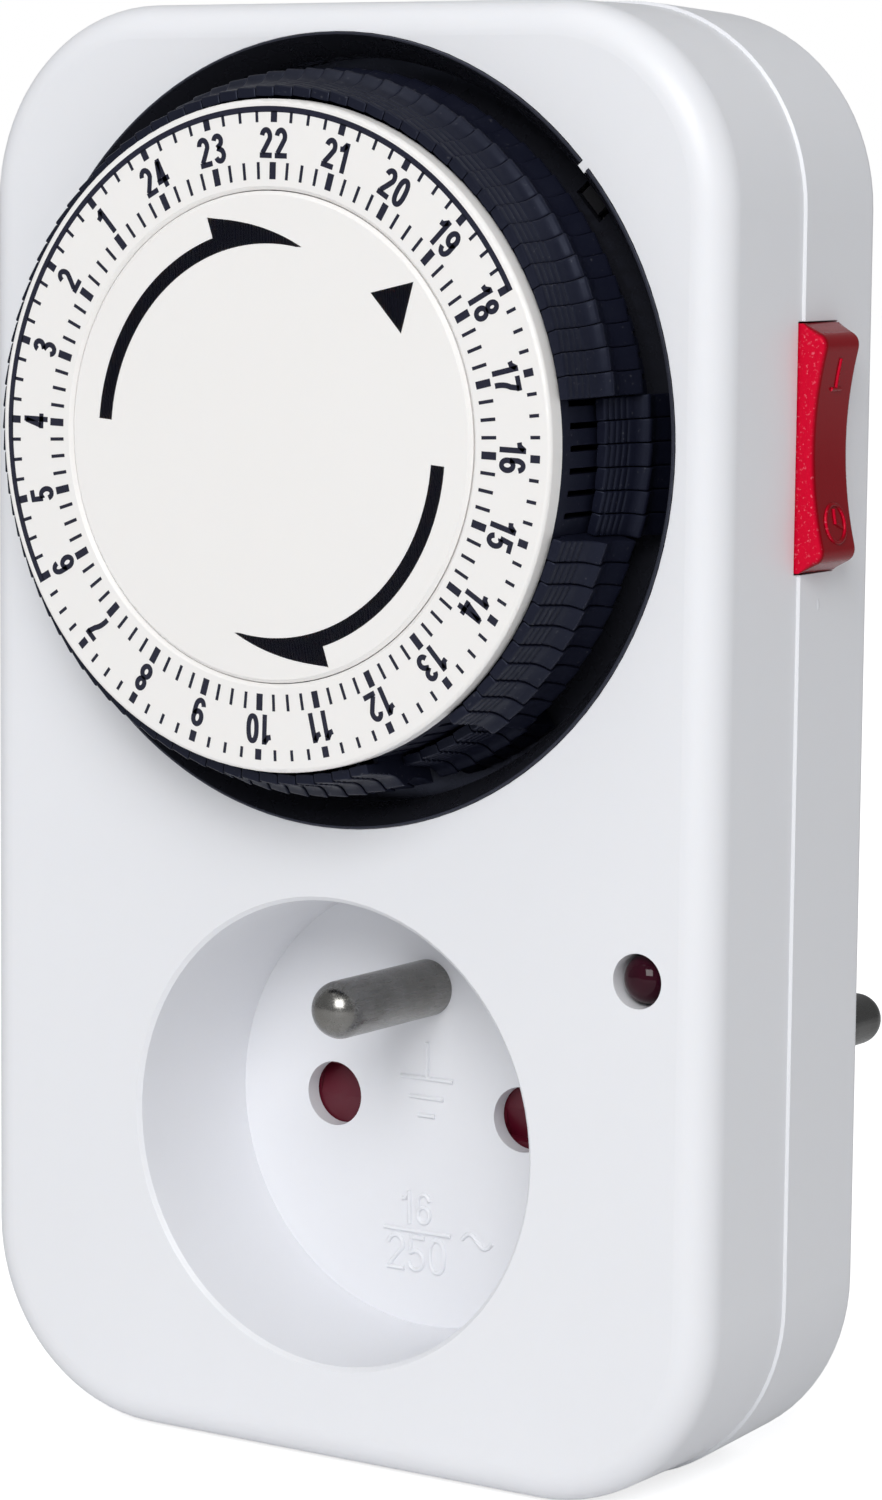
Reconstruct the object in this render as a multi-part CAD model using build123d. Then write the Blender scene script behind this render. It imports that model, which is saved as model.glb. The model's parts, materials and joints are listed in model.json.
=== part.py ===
from build123d import *
import os
from math import acos, cos, degrees, pi, radians, sin, sqrt, tan

# Plug-in 24-hour mechanical timer switch with an earthed socket.
#
# Frame, in millimetres: +X to the right and +Z up as seen from the front, +Y to the back.
# The origin is the middle of the plug's end face, on the line of its two pins.
# A "depth" is a distance behind the flat front face, so parts of the dial have negative depths.

# --- housing --------------------------------------------------------------------------------
BODY_WIDTH = 72.0
BODY_HEIGHT = 120.0
BODY_DEPTH = 25.1
BODY_BOTTOM_Z = -28.0
CORNER_RADIUS = 16.4
LEDGE = 0.25             # the rear cover stands this proud of the front shell, all round
LEDGE_RAMP = 0.15        # depth over which the front shell flares out to meet it
SEAM_DEPTH = 12.8
FRONT_EDGE_RADIUS = 2.8
REAR_EDGE_RADIUS = 1.0
REAR_DRAFT = 2.2         # degrees by which the rear cover's sides lean in towards the back
WALL = 1.9
FACE_THICKNESS = 2.2
PLUG_LENGTH = 30.9       # from the back of the housing to the plug's end face

# --- socket in the front --------------------------------------------------------------------
WELL_RIM_RADIUS = 19.35
WELL_FLOOR_RADIUS = 18.95
WELL_DEPTH = 14.6
WELL_RIM_EDGE = 0.35
WELL_WALL = 1.55
PIN_SPACING = 19.0
PIN_RADIUS = 2.4
LIVE_HOLE_RADIUS = 2.76
EARTH_PIN_Z = 10.2
EARTH_PIN_TIP_DEPTH = -0.6
EARTH_SHANK_RADIUS = 2.1     # the earth pin's thinner part, through the well's floor
EARTH_FLANGE_RADIUS = 3.5
EARTH_RIVET_RADIUS = 1.55
SHUTTER_LENGTH = 26.6
SHUTTER_HEIGHT = 7.2
SHUTTER_CORNER_RADIUS = 3.0
SHUTTER_PIVOT_RADIUS = 1.2

# --- indicator lamp -------------------------------------------------------------------------
LAMP_X = 29.3
LAMP_Z = 15.85
LAMP_HOLE_RADIUS = 2.2
LAMP_TUBE_BACK = 7.0
LENS_RADIUS = 2.0
LENS_DEPTHS = (0.0, 6.0)
BULB_RADIUS = 1.6
BULB_DEPTHS = (6.3, 14.5)
RESISTOR_RADIUS = 0.9
RESISTOR_LENGTH = 5.0
RESISTOR_DEPTH = 15.9
LEAD_RADIUS = 0.25

# --- dial -----------------------------------------------------------------------------------
DIAL_Z = 57.4
DISC_RADIUS = 19.36
DISC_FRONT = -9.25
DISC_BACK = -8.3
DISC_EDGE = 0.3              # chamfer beside the joint between the disc and the ring
RING_INNER_RADIUS = 19.44
RING_OUTER_RADIUS = 26.5
RING_FRONT = -9.18
RING_BACK = -7.55
RING_EDGE_RADIUS = 0.35
CARRIER_RADIUS = 26.45
CARRIER_WALL = 1.2
CARRIER_FRONT = -7.5
CARRIER_PLATE = 1.2
CARRIER_SKIRT_DEPTH = 5.4
SURROUND_RADIUS = 31.95
SURROUND_RIM = 0.2           # width of its flat front edge
SURROUND_INNER_RADIUS = 30.05
SURROUND_PROUD = 0.2
FUNNEL_DEPTH = 2.7           # where the funnel ends and the straight wall begins
SURROUND_FLOOR_DEPTH = 5.95
SURROUND_FLOOR = 0.85
TROUGH_INNER_RADIUS = 24.9
NOTCH_DIRECTION = 47.4
NOTCH_WIDTH = 0.9
NOTCH_RADIUS = 31.35
NOTCH_DEPTH = 2.6
POST_RADIUS = 4.0
RUNNING_GAP = 0.05

# --- tappets --------------------------------------------------------------------------------
TAPPET_COUNT = 96
TAPPET_PITCH = 360.0 / TAPPET_COUNT
TAPPET_GAP_DEGREES = 0.16
TAPPET_INNER_RADIUS = 26.75
TAPPET_TRAVEL = 5.0
TAPPET_FACE_TURN = 5.0   # each outer face is turned a little, so one edge stands proud
TONGUE_WIDTH = 0.4
TONGUE_X = -0.63         # the tongue is near one side of the tappet
SLOT_WIDTH = 0.5
DIAL_PHASE = 333.0       # clockwise angle of the 24-hour mark; hour h lies 15 degrees per hour before

# Outer profile of a raised tappet from its front edge to its back edge: radius, depth.
TAPPET_PROFILE = [
    (27.45, -7.94), (27.55, -7.84), (27.62, -7.42), (27.47, -7.30), (27.62, -7.18), (27.72, -6.72),
    (27.57, -6.60), (27.72, -6.48), (27.82, -6.02), (27.67, -5.90), (27.82, -5.78), (27.92, -5.32),
    (27.77, -5.20), (27.92, -5.08), (28.12, -4.45), (28.45, -4.00), (28.90, -3.66), (28.97, -3.45),
    (28.86, -3.18), (28.62, -2.50), (28.46, -1.95), (28.54, -1.20), (28.76, -0.42), (29.12, 0.44),
    (29.05, 0.61),
]

# Start hour, number of quarter-hour tappets and whether they are pushed in, for each block.
TAPPET_BLOCKS = {
    "tappets_0000_off": (0.0, 16, False),
    "tappets_0400_off": (4.0, 16, False),
    "tappets_0800_off": (8.0, 14, False),
    "tappets_1130_on": (11.5, 5, True),
    "tappets_1245_off": (12.75, 10, False),
    "tappets_1515_on": (15.25, 6, True),
    "tappets_1645_off": (16.75, 13, False),
    "tappets_2000_off": (20.0, 16, False),
}

# --- gear train -----------------------------------------------------------------------------
GEAR_MODULE = 0.5
DIAL_TEETH = 88
TRANSFER_PINION_TEETH = 12
TRANSFER_WHEEL_TEETH = 48
MOTOR_PINION_TEETH = 10
PRESSURE_ANGLE = 20.0
BACKLASH = 0.10
TRANSFER_DIRECTION = 215.0   # clockwise angle of the transfer axle about the dial
MOTOR_X = 2.0
MOTOR_Z = 60.0
MOTOR_RADIUS = 18.0
PLATE_DEPTH = 12.0
PLATE_THICKNESS = 1.2
PLATE_WIDTH = 66.4
PLATE_HEIGHT = 53.0
PLATE_MID_Z = 54.0
PLATE_CORNER_RADIUS = 6.0
MOTOR_FRONT = 13.3
MOTOR_BACK = 21.8
MOTOR_SHEET = 0.8
DIAL_GEAR_DEPTHS = (7.6, 9.5)
WHEEL_DEPTHS = (9.9, 11.6)
AXLE_RADIUS = 0.75
COIL_DEPTHS = (15.4, 20.6)
COIL_RADII = (9.2, 16.6)
BOBBIN_FLANGE = 0.7
BOBBIN_RIM = 0.8
ROTOR_RADIUS = 8.2
ROTOR_DEPTHS = (15.4, 20.4)
ROTOR_SHAFT_RADIUS = 1.0

# --- switch ---------------------------------------------------------------------------------
NOSE_DIRECTION = 47.7
NOSE_RADIUS = 28.4
NOSE_TIP_DEPTH = 5.76
LEVER_X = 26.0
LEVER_PIVOT_Z = 61.0
LEVER_PIVOT_DEPTH = 8.8
LEVER_WIDTH = 2.8
LEVER_DEPTHS = (8.1, 9.6)
LEVER_PIN_RADIUS = 0.6
LEVER_TOP_Z = 77.6
ARM_DEPTH = 10.5
ARM_PIN_RADIUS = 0.5
BYPASS_PIN_RADIUS = 0.5
ARM_THICKNESS = 0.3
ARM_PIVOT_Z = 58.6
BASE_TOP_Z = 57.0
BASE_BOTTOM_Z = 53.6
EAR_TOP_Z = 62.6
CONTACT_Z = 75.2
CONTACT_OPENING = 1.05
CONTACT_WIDTH = 2.4
RIVET_RADIUS = 1.0
RIVET_HEIGHT = 0.45
PIN_SPAN = 5.6           # length of the two pivot pins between the switch's ears

# --- rocker ---------------------------------------------------------------------------------
ROCKER_Z = 57.1
ROCKER_FRONT = 12.3
ROCKER_WIDTH = 5.9
ROCKER_BASE_LENGTH = 19.6
ROCKER_TOP_LENGTH = 17.3
ROCKER_END_X = 38.3
ROCKER_WAIST_X = 37.1
ROCKER_PIVOT_X = 34.0
ROCKER_NECK_X = 34.3         # its ends are straight from the housing's side to here, then taper
ROCKER_INNER_X = 32.8
ROCKER_INNER_LENGTH = 16.4
ROCKER_GAP = 0.15
ROCKER_AXLE_RADIUS = 0.9
ROCKER_CORNER_RADIUS = 0.5
BYPASS_PIVOT_Z = 48.6
BYPASS_X = 28.9
BYPASS_THICKNESS = 0.3
BYPASS_CONTACT_Z = 63.4
BYPASS_OPENING = 0.56

# --- plug -----------------------------------------------------------------------------------
PLUG_RADIUS = 18.9
PLUG_NECK_RADIUS = 18.6      # where it passes through the rear cover
PLUG_WALL = 2.2
PLUG_END_THICKNESS = 4.0
PLUG_FLANGE_RADIUS = 20.6
PLUG_PIN_LENGTH = 19.0
PIN_HEAD_DEPTH = 40.0
PIN_HEAD_RADIUS = 3.2
PIN_SHANK_RADIUS = 2.2       # a pin's thinner part, inside the plug
PIN_RECESS = 0.3             # shallow recess round each pin in the plug's end face
PIN_BLOCK_DEPTHS = (42.2, 46.2)
EARTH_HOLE_Z = 10.0
EARTH_HOLE_RADIUS = 2.6
SLEEVE_RADIUS = 3.15
SLEEVE_DEPTHS = (38.0, 39.0)     # its closed end, front and back
STRIP = 0.6                  # thickness of the stamped strips
EARTH_STRIP_TOP = 15.8
EARTH_STRIP_FRONT = 17.7
EARTH_STRIP_BACK = 49.5
EARTH_RING_DEPTHS = (29.8, 31.4)
EARTH_RING_RADII = (15.0, 15.8)
EARTH_GROOVE_WIDTH = 7.0
EARTH_GROOVE_DEPTH = 1.7

# --- fasteners ------------------------------------------------------------------------------
SCREW_PLACES = [(-26.1, 82.1), (26.1, 82.1), (-26.1, -18.1), (26.1, -18.1)]
SPRING_POST = (-1.5, -6.8)
PLATE_POSTS = [(-31.0, 75.0), (31.0, 75.0), (-29.5, 31.0), (29.5, 31.0)]
BOSS_RADIUS = 3.4
SCREW_RADIUS = 1.3
SCREW_HOLE_RADIUS = 1.36
SCREW_PASSAGE_RADIUS = 1.7
SCREW_SEAT_DEPTH = 18.0
SCREW_WELL_RADIUS = 3.0
SCREW_HEAD_RADIUS = 2.75
SCREW_HEAD_BACK = 20.0
PLATE_POST_RADIUS = 2.5
PLATE_SCREW_RADIUS = 0.9
PLATE_SCREW_HEAD_RADIUS = 1.9

# --- worked out from the above --------------------------------------------------------------
FACE_SETBACK = BODY_DEPTH + PLUG_LENGTH
AXLE_START = ROCKER_FRONT - 2.9
AXLE_END = ROCKER_FRONT + ROCKER_WIDTH + 3.5
FIXED_CONTACT_FRONT = ARM_DEPTH + ARM_THICKNESS / 2 + RIVET_HEIGHT + CONTACT_OPENING
PLUG_END_DEPTH = FACE_SETBACK
BODY_MID_Z = BODY_BOTTOM_Z + BODY_HEIGHT / 2
SIDE_X = BODY_WIDTH / 2
REAR_WALL_DEPTH = BODY_DEPTH - WALL
WELL_BACK = WELL_DEPTH + WELL_WALL
CLIP_FRONT = 18.7
CLIP_BACK = 35.5
SHUTTER_DEPTHS = (WELL_BACK + 0.2, WELL_BACK + 1.3)
FEED_DEPTHS = (19.8, 20.4)
SWITCHED_DEPTHS = (19.0, 19.6)


def y_at(depth):
    """Row coordinate of a depth behind the front face."""
    return depth - FACE_SETBACK


def layer(sketch, start, end):
    """A sketch drawn in X and Z, carried from one depth to another."""
    plane = Plane(origin=(0, y_at(start), 0), x_dir=(1, 0, 0), z_dir=(0, -1, 0))
    return extrude(plane * sketch, amount=end - start, dir=(0, 1, 0))


def rod(radius, start, end, x=0.0, z=0.0):
    """A round bar along Y."""
    return layer(Pos(x, z) * Circle(radius), start, end)


def block(x_range, depth_range, z_range):
    """A rectangular bar between three pairs of coordinates."""
    size = [high - low for low, high in (x_range, depth_range, z_range)]
    middle = Pos(sum(x_range) / 2, y_at(sum(depth_range) / 2), sum(z_range) / 2)
    return middle * Box(*size)


def turned(points, x=0.0, z=0.0):
    """A closed outline of (radius, depth) points turned about an axis along Y."""
    outline = Polyline(*[(radius, y_at(depth)) for radius, depth in points], close=True)
    solid = revolve(make_face(outline), Axis((0, 0, 0), (0, 1, 0)))
    return Pos(x, 0, z) * solid


def polar(radius, clockwise):
    """X and Z of a point around the dial's centre, by its clockwise angle from the top."""
    angle = radians(clockwise)
    return radius * sin(angle), DIAL_Z + radius * cos(angle)


def about_dial(shape, clockwise):
    """A shape drawn at the top of the dial, turned clockwise about the dial's axis."""
    return Pos(0, 0, DIAL_Z) * Rot(0, clockwise, 0) * Pos(0, 0, -DIAL_Z) * shape


def body_outline(inset):
    """The housing's rounded outline, taken in by an inset from the rear cover's outline."""
    outline = RectangleRounded(BODY_WIDTH - 2 * inset, BODY_HEIGHT - 2 * inset, CORNER_RADIUS - inset)
    return Pos(0, BODY_MID_Z) * outline


def save(shape, node):
    """Writes a node's solids to its STEP file."""
    export_step(shape, f"parts/{node}.step")


# --- housing --------------------------------------------------------------------------------

def front_shell():
    """The front half of the housing, with the socket's well and the dial's opening."""
    ramp_start = SEAM_DEPTH - LEDGE_RAMP
    shell = layer(body_outline(LEDGE), 0, ramp_start)
    front_edges = shell.edges().group_by(Axis.Y)[0]
    shell = fillet(front_edges, FRONT_EDGE_RADIUS)
    plane = Plane(origin=(0, y_at(SEAM_DEPTH), 0), x_dir=(1, 0, 0), z_dir=(0, -1, 0))
    ramp_angle = degrees(acos(LEDGE_RAMP / sqrt(LEDGE_RAMP**2 + LEDGE**2)))
    shell += extrude(plane * body_outline(0), amount=LEDGE_RAMP, taper=ramp_angle)
    shell -= layer(body_outline(LEDGE + WALL), FACE_THICKNESS, SEAM_DEPTH)
    for x, z in SCREW_PLACES:
        shell += rod(BOSS_RADIUS, FACE_THICKNESS - 0.5, SEAM_DEPTH, x, z)
        shell -= rod(SCREW_HOLE_RADIUS, 3.6, SEAM_DEPTH, x, z)
    for x, z in PLATE_POSTS:
        shell += rod(PLATE_POST_RADIUS, FACE_THICKNESS - 0.5, PLATE_DEPTH, x, z)
        shell -= rod(PLATE_SCREW_RADIUS + 0.06, 4.0, PLATE_DEPTH, x, z)
    shell -= rod(SURROUND_RADIUS + RUNNING_GAP, -1, FACE_THICKNESS + 1, 0, DIAL_Z)
    shell += surround_key(NOTCH_WIDTH - 0.1, 0, FACE_THICKNESS, NOTCH_RADIUS + 0.05)
    shell += rod(WELL_FLOOR_RADIUS + WELL_WALL + 0.35, FACE_THICKNESS - 0.5, WELL_BACK)
    edge = WELL_RIM_EDGE
    shell -= turned([
        (0, -1), (WELL_RIM_RADIUS + edge, -1), (WELL_RIM_RADIUS + edge, 0), (WELL_RIM_RADIUS, edge),
        (WELL_FLOOR_RADIUS, WELL_DEPTH), (0, WELL_DEPTH),
    ])
    for x in (-PIN_SPACING / 2, PIN_SPACING / 2):
        shell -= rod(LIVE_HOLE_RADIUS, WELL_DEPTH - 1, WELL_BACK + 1, x)
    shell -= rod(EARTH_SHANK_RADIUS + RUNNING_GAP, WELL_DEPTH - 1, WELL_BACK + 1, 0, EARTH_PIN_Z)
    shell += rod(LAMP_HOLE_RADIUS + 1.4, FACE_THICKNESS - 0.5, LAMP_TUBE_BACK, LAMP_X, LAMP_Z)
    shell -= rod(LAMP_HOLE_RADIUS, -1, LAMP_TUBE_BACK + 1, LAMP_X, LAMP_Z)
    shell += rod(0.7, WELL_BACK - 0.3, WELL_BACK + 3.0, *SPRING_POST)
    shell -= rocker_opening()
    shell += rocker_web(8.0, ROCKER_FRONT - 0.3)
    return shell - rocker_axle_hole()


def surround_key(width, front, back, inner_radius):
    """A small block across the edge of the dial's opening, pointing at the dial's centre."""
    reach = (DIAL_Z + inner_radius, DIAL_Z + SURROUND_RADIUS + 0.4)
    return about_dial(block((-width / 2, width / 2), (front, back), reach), NOTCH_DIRECTION)


def rocker_opening():
    """The slot for the rocker, cut half into each part of the housing."""
    half = ROCKER_BASE_LENGTH / 2 + ROCKER_GAP
    depths = (ROCKER_FRONT - 0.2, ROCKER_FRONT + ROCKER_WIDTH + 0.2)
    return block((SIDE_X - 4, SIDE_X + 1), depths, (ROCKER_Z - half, ROCKER_Z + half))


def rocker_web(start, end):
    """A web inside the side wall that holds one end of the rocker's axle."""
    return block((31.4, SIDE_X - 1.5), (start, end), (ROCKER_Z - 2.6, ROCKER_Z + 2.6))


def rocker_axle_hole():
    """The bore through both webs that holds the rocker's axle."""
    return rod(ROCKER_AXLE_RADIUS + 0.01, AXLE_START - 0.1, AXLE_END + 0.1, ROCKER_PIVOT_X, ROCKER_Z)


def rear_cover():
    """The back half of the housing, with the rocker's cut-out and the plug's opening."""
    plane = Plane(origin=(0, y_at(SEAM_DEPTH), 0), x_dir=(-1, 0, 0), z_dir=(0, 1, 0))
    cover = extrude(plane * body_outline(0), amount=BODY_DEPTH - SEAM_DEPTH, taper=REAR_DRAFT)
    cover = fillet(cover.edges().group_by(Axis.Y)[-1], REAR_EDGE_RADIUS)
    cover -= layer(body_outline(WALL), SEAM_DEPTH, REAR_WALL_DEPTH)
    for x, z in SCREW_PLACES:
        cover += rod(BOSS_RADIUS + 0.8, SEAM_DEPTH, REAR_WALL_DEPTH + 0.5, x, z)
        cover -= rod(SCREW_PASSAGE_RADIUS, SEAM_DEPTH, BODY_DEPTH + 1, x, z)
        cover -= rod(SCREW_WELL_RADIUS, SCREW_SEAT_DEPTH, BODY_DEPTH + 1, x, z)
    cover -= rocker_opening()
    cover += rocker_web(ROCKER_FRONT + ROCKER_WIDTH + 0.3, REAR_WALL_DEPTH + 0.3)
    cover -= rod(PLUG_NECK_RADIUS + 0.08, REAR_WALL_DEPTH - 1, BODY_DEPTH + 1)
    return cover - rocker_axle_hole()


def housing_screws():
    """Four self-tapping screws put in from the back, with a two-slot security drive."""
    screws = []
    for x, z in SCREW_PLACES:
        screw = rod(SCREW_RADIUS, 5.0, SCREW_SEAT_DEPTH + 0.2, x, z)
        screw += rod(SCREW_HEAD_RADIUS, SCREW_SEAT_DEPTH + 0.05, SCREW_HEAD_BACK, x, z)
        slot_depths = (SCREW_HEAD_BACK - 0.8, SCREW_HEAD_BACK + 0.2)
        screw -= block((x - 2.2, x - 0.8), slot_depths, (z - 0.4, z + 0.4))
        screw -= block((x + 0.8, x + 2.2), slot_depths, (z - 0.4, z + 0.4))
        screws.append(screw)
    return Compound(screws)


# --- plug and its metalwork -------------------------------------------------------------------

def plug_body():
    """The round plug at the back: a deep cup with the pins' end wall and the earth grooves."""
    body = rod(PLUG_RADIUS, BODY_DEPTH, PLUG_END_DEPTH)
    body = chamfer(body.edges().group_by(Axis.Y)[-1], 0.8)
    body += rod(PLUG_NECK_RADIUS, REAR_WALL_DEPTH - 0.5, BODY_DEPTH + 0.5)
    body += rod(PLUG_FLANGE_RADIUS, REAR_WALL_DEPTH - 1.6, REAR_WALL_DEPTH - 0.05)
    body -= rod(PLUG_RADIUS - PLUG_WALL, 20, PLUG_END_DEPTH - PLUG_END_THICKNESS)
    for x in (-PIN_SPACING / 2, PIN_SPACING / 2):
        body -= rod(PIN_SHANK_RADIUS + RUNNING_GAP, 50, PLUG_END_DEPTH + 1, x)
        body -= rod(PIN_RADIUS + 0.06, PLUG_END_DEPTH - PIN_RECESS, PLUG_END_DEPTH + 1, x)
    body -= rod(EARTH_HOLE_RADIUS, 50, PLUG_END_DEPTH + 1, 0, EARTH_HOLE_Z)
    half = EARTH_GROOVE_WIDTH / 2
    groove_floor = PLUG_RADIUS - EARTH_GROOVE_DEPTH
    for side in (-1, 1):
        low, high = sorted((side * groove_floor, side * (PLUG_RADIUS + 1)))
        body -= block((-half, half), (30, PLUG_END_DEPTH + 1), (low, high))
        low, high = sorted((side * 14, side * (PLUG_RADIUS + 1)))
        body -= block((-half + 0.8, half - 0.8), (30.4, 32.0), (low, high))
    return body


def pin_block():
    """The moulded block inside the plug that holds the pins in line."""
    inner = rod(PLUG_RADIUS - PLUG_WALL - 0.15, *PIN_BLOCK_DEPTHS)
    through = (PIN_BLOCK_DEPTHS[0] - 1, PIN_BLOCK_DEPTHS[1] + 1)
    for x in (-PIN_SPACING / 2, PIN_SPACING / 2):
        inner -= rod(PIN_SHANK_RADIUS + RUNNING_GAP, *through, x)
    inner -= rod(SLEEVE_RADIUS + 0.15, *through, 0, EARTH_HOLE_Z)
    inner -= block((-3.2, 3.2), through, (EARTH_STRIP_TOP - 1.2, PLUG_RADIUS))
    return inner


def plug_pin(x):
    """A round plug pin with a domed tip and a head inside the plug."""
    tip_depth = PLUG_END_DEPTH + PLUG_PIN_LENGTH
    pin = rod(PIN_RADIUS, PLUG_END_DEPTH, tip_depth, x)
    tip = pin.edges().group_by(Axis.Y)[-1]
    pin = fillet(tip, PIN_RADIUS - 0.15)
    pin += rod(PIN_SHANK_RADIUS, PIN_HEAD_DEPTH + 1, PLUG_END_DEPTH + 0.5, x)
    return pin + rod(PIN_HEAD_RADIUS, PIN_HEAD_DEPTH, PIN_HEAD_DEPTH + 2.1, x)


def contact_clip(x):
    """A two-leaf spring clip that grips a pin of the plug put in from the front."""
    half_height = 2.6
    gap = PIN_RADIUS + 0.1
    clip = block((x - gap - 0.5, x + gap + 0.5), (CLIP_FRONT, CLIP_BACK), (-half_height, half_height))
    clip -= block((x - gap, x + gap), (CLIP_FRONT - 1, CLIP_BACK - 0.5), (-half_height - 1, half_height + 1))
    flare = 0.5
    for side in (-1, 1):
        low, high = sorted((x + side * gap, x + side * (gap + 0.5 + flare)))
        clip += block((low, high), (CLIP_FRONT - 0.4, CLIP_FRONT), (-half_height, half_height))
    return clip


def neutral_bar():
    """The strip from the neutral clip back to the neutral pin's head."""
    x = -PIN_SPACING / 2
    return block((x - 1.5, x + 1.5), (CLIP_BACK, PIN_HEAD_DEPTH), (-0.4, 0.4))


def live_feed_bar():
    """The strip from the live pin's head up to the switch."""
    x = PIN_SPACING / 2
    front, back = FEED_DEPTHS
    bar = block((x - 2, x + 2), (PIN_HEAD_DEPTH - STRIP, PIN_HEAD_DEPTH), (-7.2, 2))
    bar += block((x - 2, x + 2), (front, PIN_HEAD_DEPTH), (-7.2, -7.2 + STRIP))
    bar += block((x - 2, LEVER_X + 1.6), (front, back), (-7.2, -4.2))
    bar += block((LEVER_X - 1.4, LEVER_X + 1.6), (front, back), (-7.2, 52.0))
    branch_z = (BYPASS_PIVOT_Z - 1.0, BYPASS_PIVOT_Z + 1.0)
    bar += block((LEVER_X + 1.5, BYPASS_X + 1.1), (front, back), branch_z)
    tongue_x = (LEVER_X - 0.8, LEVER_X + 0.8)
    tongue_depths = (ARM_DEPTH - STRIP / 2, ARM_DEPTH + STRIP / 2)
    bar += block(tongue_x, (tongue_depths[0], back), (51.4, 51.4 + STRIP))
    return bar + block(tongue_x, tongue_depths, (51.4, ARM_PIVOT_Z - 1.1))


def switched_bar():
    """The strip from the fixed contact down to the live clip."""
    front, back = SWITCHED_DEPTHS
    clip_x = PIN_SPACING / 2 + PIN_RADIUS + 0.6
    contact_depths = (FIXED_CONTACT_FRONT + 0.4, FIXED_CONTACT_FRONT + 0.4 + STRIP)
    bar = block((clip_x, clip_x + STRIP), (front, 25.0), (-2.2, 2.2))
    bar += block((clip_x, 23.6), (front, back), (-2.2, 2.2))
    bar += block((21.0, 23.6), (front, back), (-2.2, 53.2))
    bar += block((21.0, 22.7), (contact_depths[0], back), (52.6, 53.2))
    return bar + block((21.0, LEVER_X + 1.2), contact_depths, (52.6, 53.2))


def earth_strap():
    """The strip and ring that join the socket's earth pin to the plug's earth contacts."""
    front, back, top = EARTH_STRIP_FRONT, EARTH_STRIP_BACK, EARTH_STRIP_TOP
    strap = block((-3, 3), (front, front + STRIP), (6.6, top))
    strap += block((-3, 3), (front, back), (top - STRIP, top))
    strap += block((-2, 2), (back - STRIP, back), (11.8, top))
    ring = rod(EARTH_RING_RADII[1], *EARTH_RING_DEPTHS)
    ring -= rod(EARTH_RING_RADII[0], EARTH_RING_DEPTHS[0] - 1, EARTH_RING_DEPTHS[1] + 1)
    strap += ring
    strap -= rod(SLEEVE_RADIUS, back - 1, back + 1, 0, EARTH_HOLE_Z)
    return strap - rod(EARTH_RIVET_RADIUS + RUNNING_GAP, front - 1, front + 1, 0, EARTH_PIN_Z)


def socket_earth_pin():
    """The earth pin that stands in the socket's well."""
    pin = rod(PIN_RADIUS, EARTH_PIN_TIP_DEPTH, WELL_DEPTH, 0, EARTH_PIN_Z)
    pin = fillet(pin.edges().group_by(Axis.Y)[0], PIN_RADIUS - 0.12)
    pin += rod(EARTH_SHANK_RADIUS, WELL_DEPTH - 0.5, WELL_BACK + 0.2, 0, EARTH_PIN_Z)
    pin += rod(EARTH_FLANGE_RADIUS, WELL_BACK + 0.05, EARTH_STRIP_FRONT, 0, EARTH_PIN_Z)
    return pin + rod(EARTH_RIVET_RADIUS, EARTH_STRIP_FRONT - 0.1, EARTH_STRIP_FRONT + 1.2, 0, EARTH_PIN_Z)


def earth_sleeve():
    """The split sleeve that takes the wall socket's earth pin."""
    z = EARTH_HOLE_Z
    front, back = SLEEVE_DEPTHS[0], PLUG_END_DEPTH - PLUG_END_THICKNESS
    sleeve = rod(SLEEVE_RADIUS, front, back, 0, z)
    sleeve -= rod(EARTH_HOLE_RADIUS, SLEEVE_DEPTHS[1], back + 1, 0, z)
    return sleeve - block((-0.4, 0.4), (front + 4, back + 1), (z - 4, z))


def earth_clips():
    """Two bowed spring strips in the plug's grooves, for a wall socket with side contacts."""
    clips = []
    half = EARTH_GROOVE_WIDTH / 2 - 1.0
    floor = PLUG_RADIUS - EARTH_GROOVE_DEPTH
    for side in (-1, 1):
        points = [
            (30.6, floor + 0.10), (30.6, 15.8), (31.0, 15.8), (31.0, floor + 0.10), (36.0, floor + 0.35),
            (44.0, floor + 1.10), (51.0, floor + 0.80), (54.2, floor + 0.10), (54.2, floor + 0.50),
            (51.0, floor + 1.20), (44.0, floor + 1.50), (36.0, floor + 0.75), (30.6, floor + 0.50),
        ]
        outline = Polyline(*[(0, y_at(depth), side * z) for depth, z in points], close=True)
        clips.append(extrude(make_face(outline), amount=half, dir=(1, 0, 0), both=True))
    return Compound(clips)


# --- socket shutter -----------------------------------------------------------------------------

def socket_shutter():
    """The child-safety shutter: two vanes which turn away from the live holes."""
    front, back = SHUTTER_DEPTHS
    outline = RectangleRounded(SHUTTER_LENGTH, SHUTTER_HEIGHT, SHUTTER_CORNER_RADIUS)
    shutter = layer(outline, front, back)
    shutter -= rod(SHUTTER_PIVOT_RADIUS + RUNNING_GAP, front - 1, back + 2)
    for side in (-1, 1):
        ramp = Pos(side * PIN_SPACING / 2, y_at(front), -side * 0.9) * Rot(side * 18, 0, 0)
        shutter -= ramp * Box(5.2, 0.9, 2.6)
    return shutter


def shutter_pivot():
    """The pin on the back of the socket's floor that the shutter turns on."""
    back = SHUTTER_DEPTHS[1]
    return rod(SHUTTER_PIVOT_RADIUS, WELL_BACK, back + 2.0) + rod(2.4, back + 1.75, back + 2.3)


def shutter_spring():
    """The torsion spring round the pivot that brings the shutter back."""
    back = SHUTTER_DEPTHS[1]
    wire, inner, outer = 0.42, 1.45, 1.95
    coil = [(inner, back + 0.15)]
    for turn in range(3):
        start = back + 0.15 + turn * wire
        coil += [(outer - 0.12, start), (outer, start + wire / 3), (outer, start + wire * 2 / 3)]
    coil += [(outer - 0.12, back + 0.15 + 3 * wire), (inner, back + 0.15 + 3 * wire)]
    spring = turned(coil)
    spring += block((1.0, 6.4), (back + 0.15, back + 0.45), (1.5, 1.8))
    return spring + block((-1.85, -1.55), (back + 1.05, back + 1.35), (-6.1, 0.6))


# --- indicator lamp -----------------------------------------------------------------------------

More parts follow.
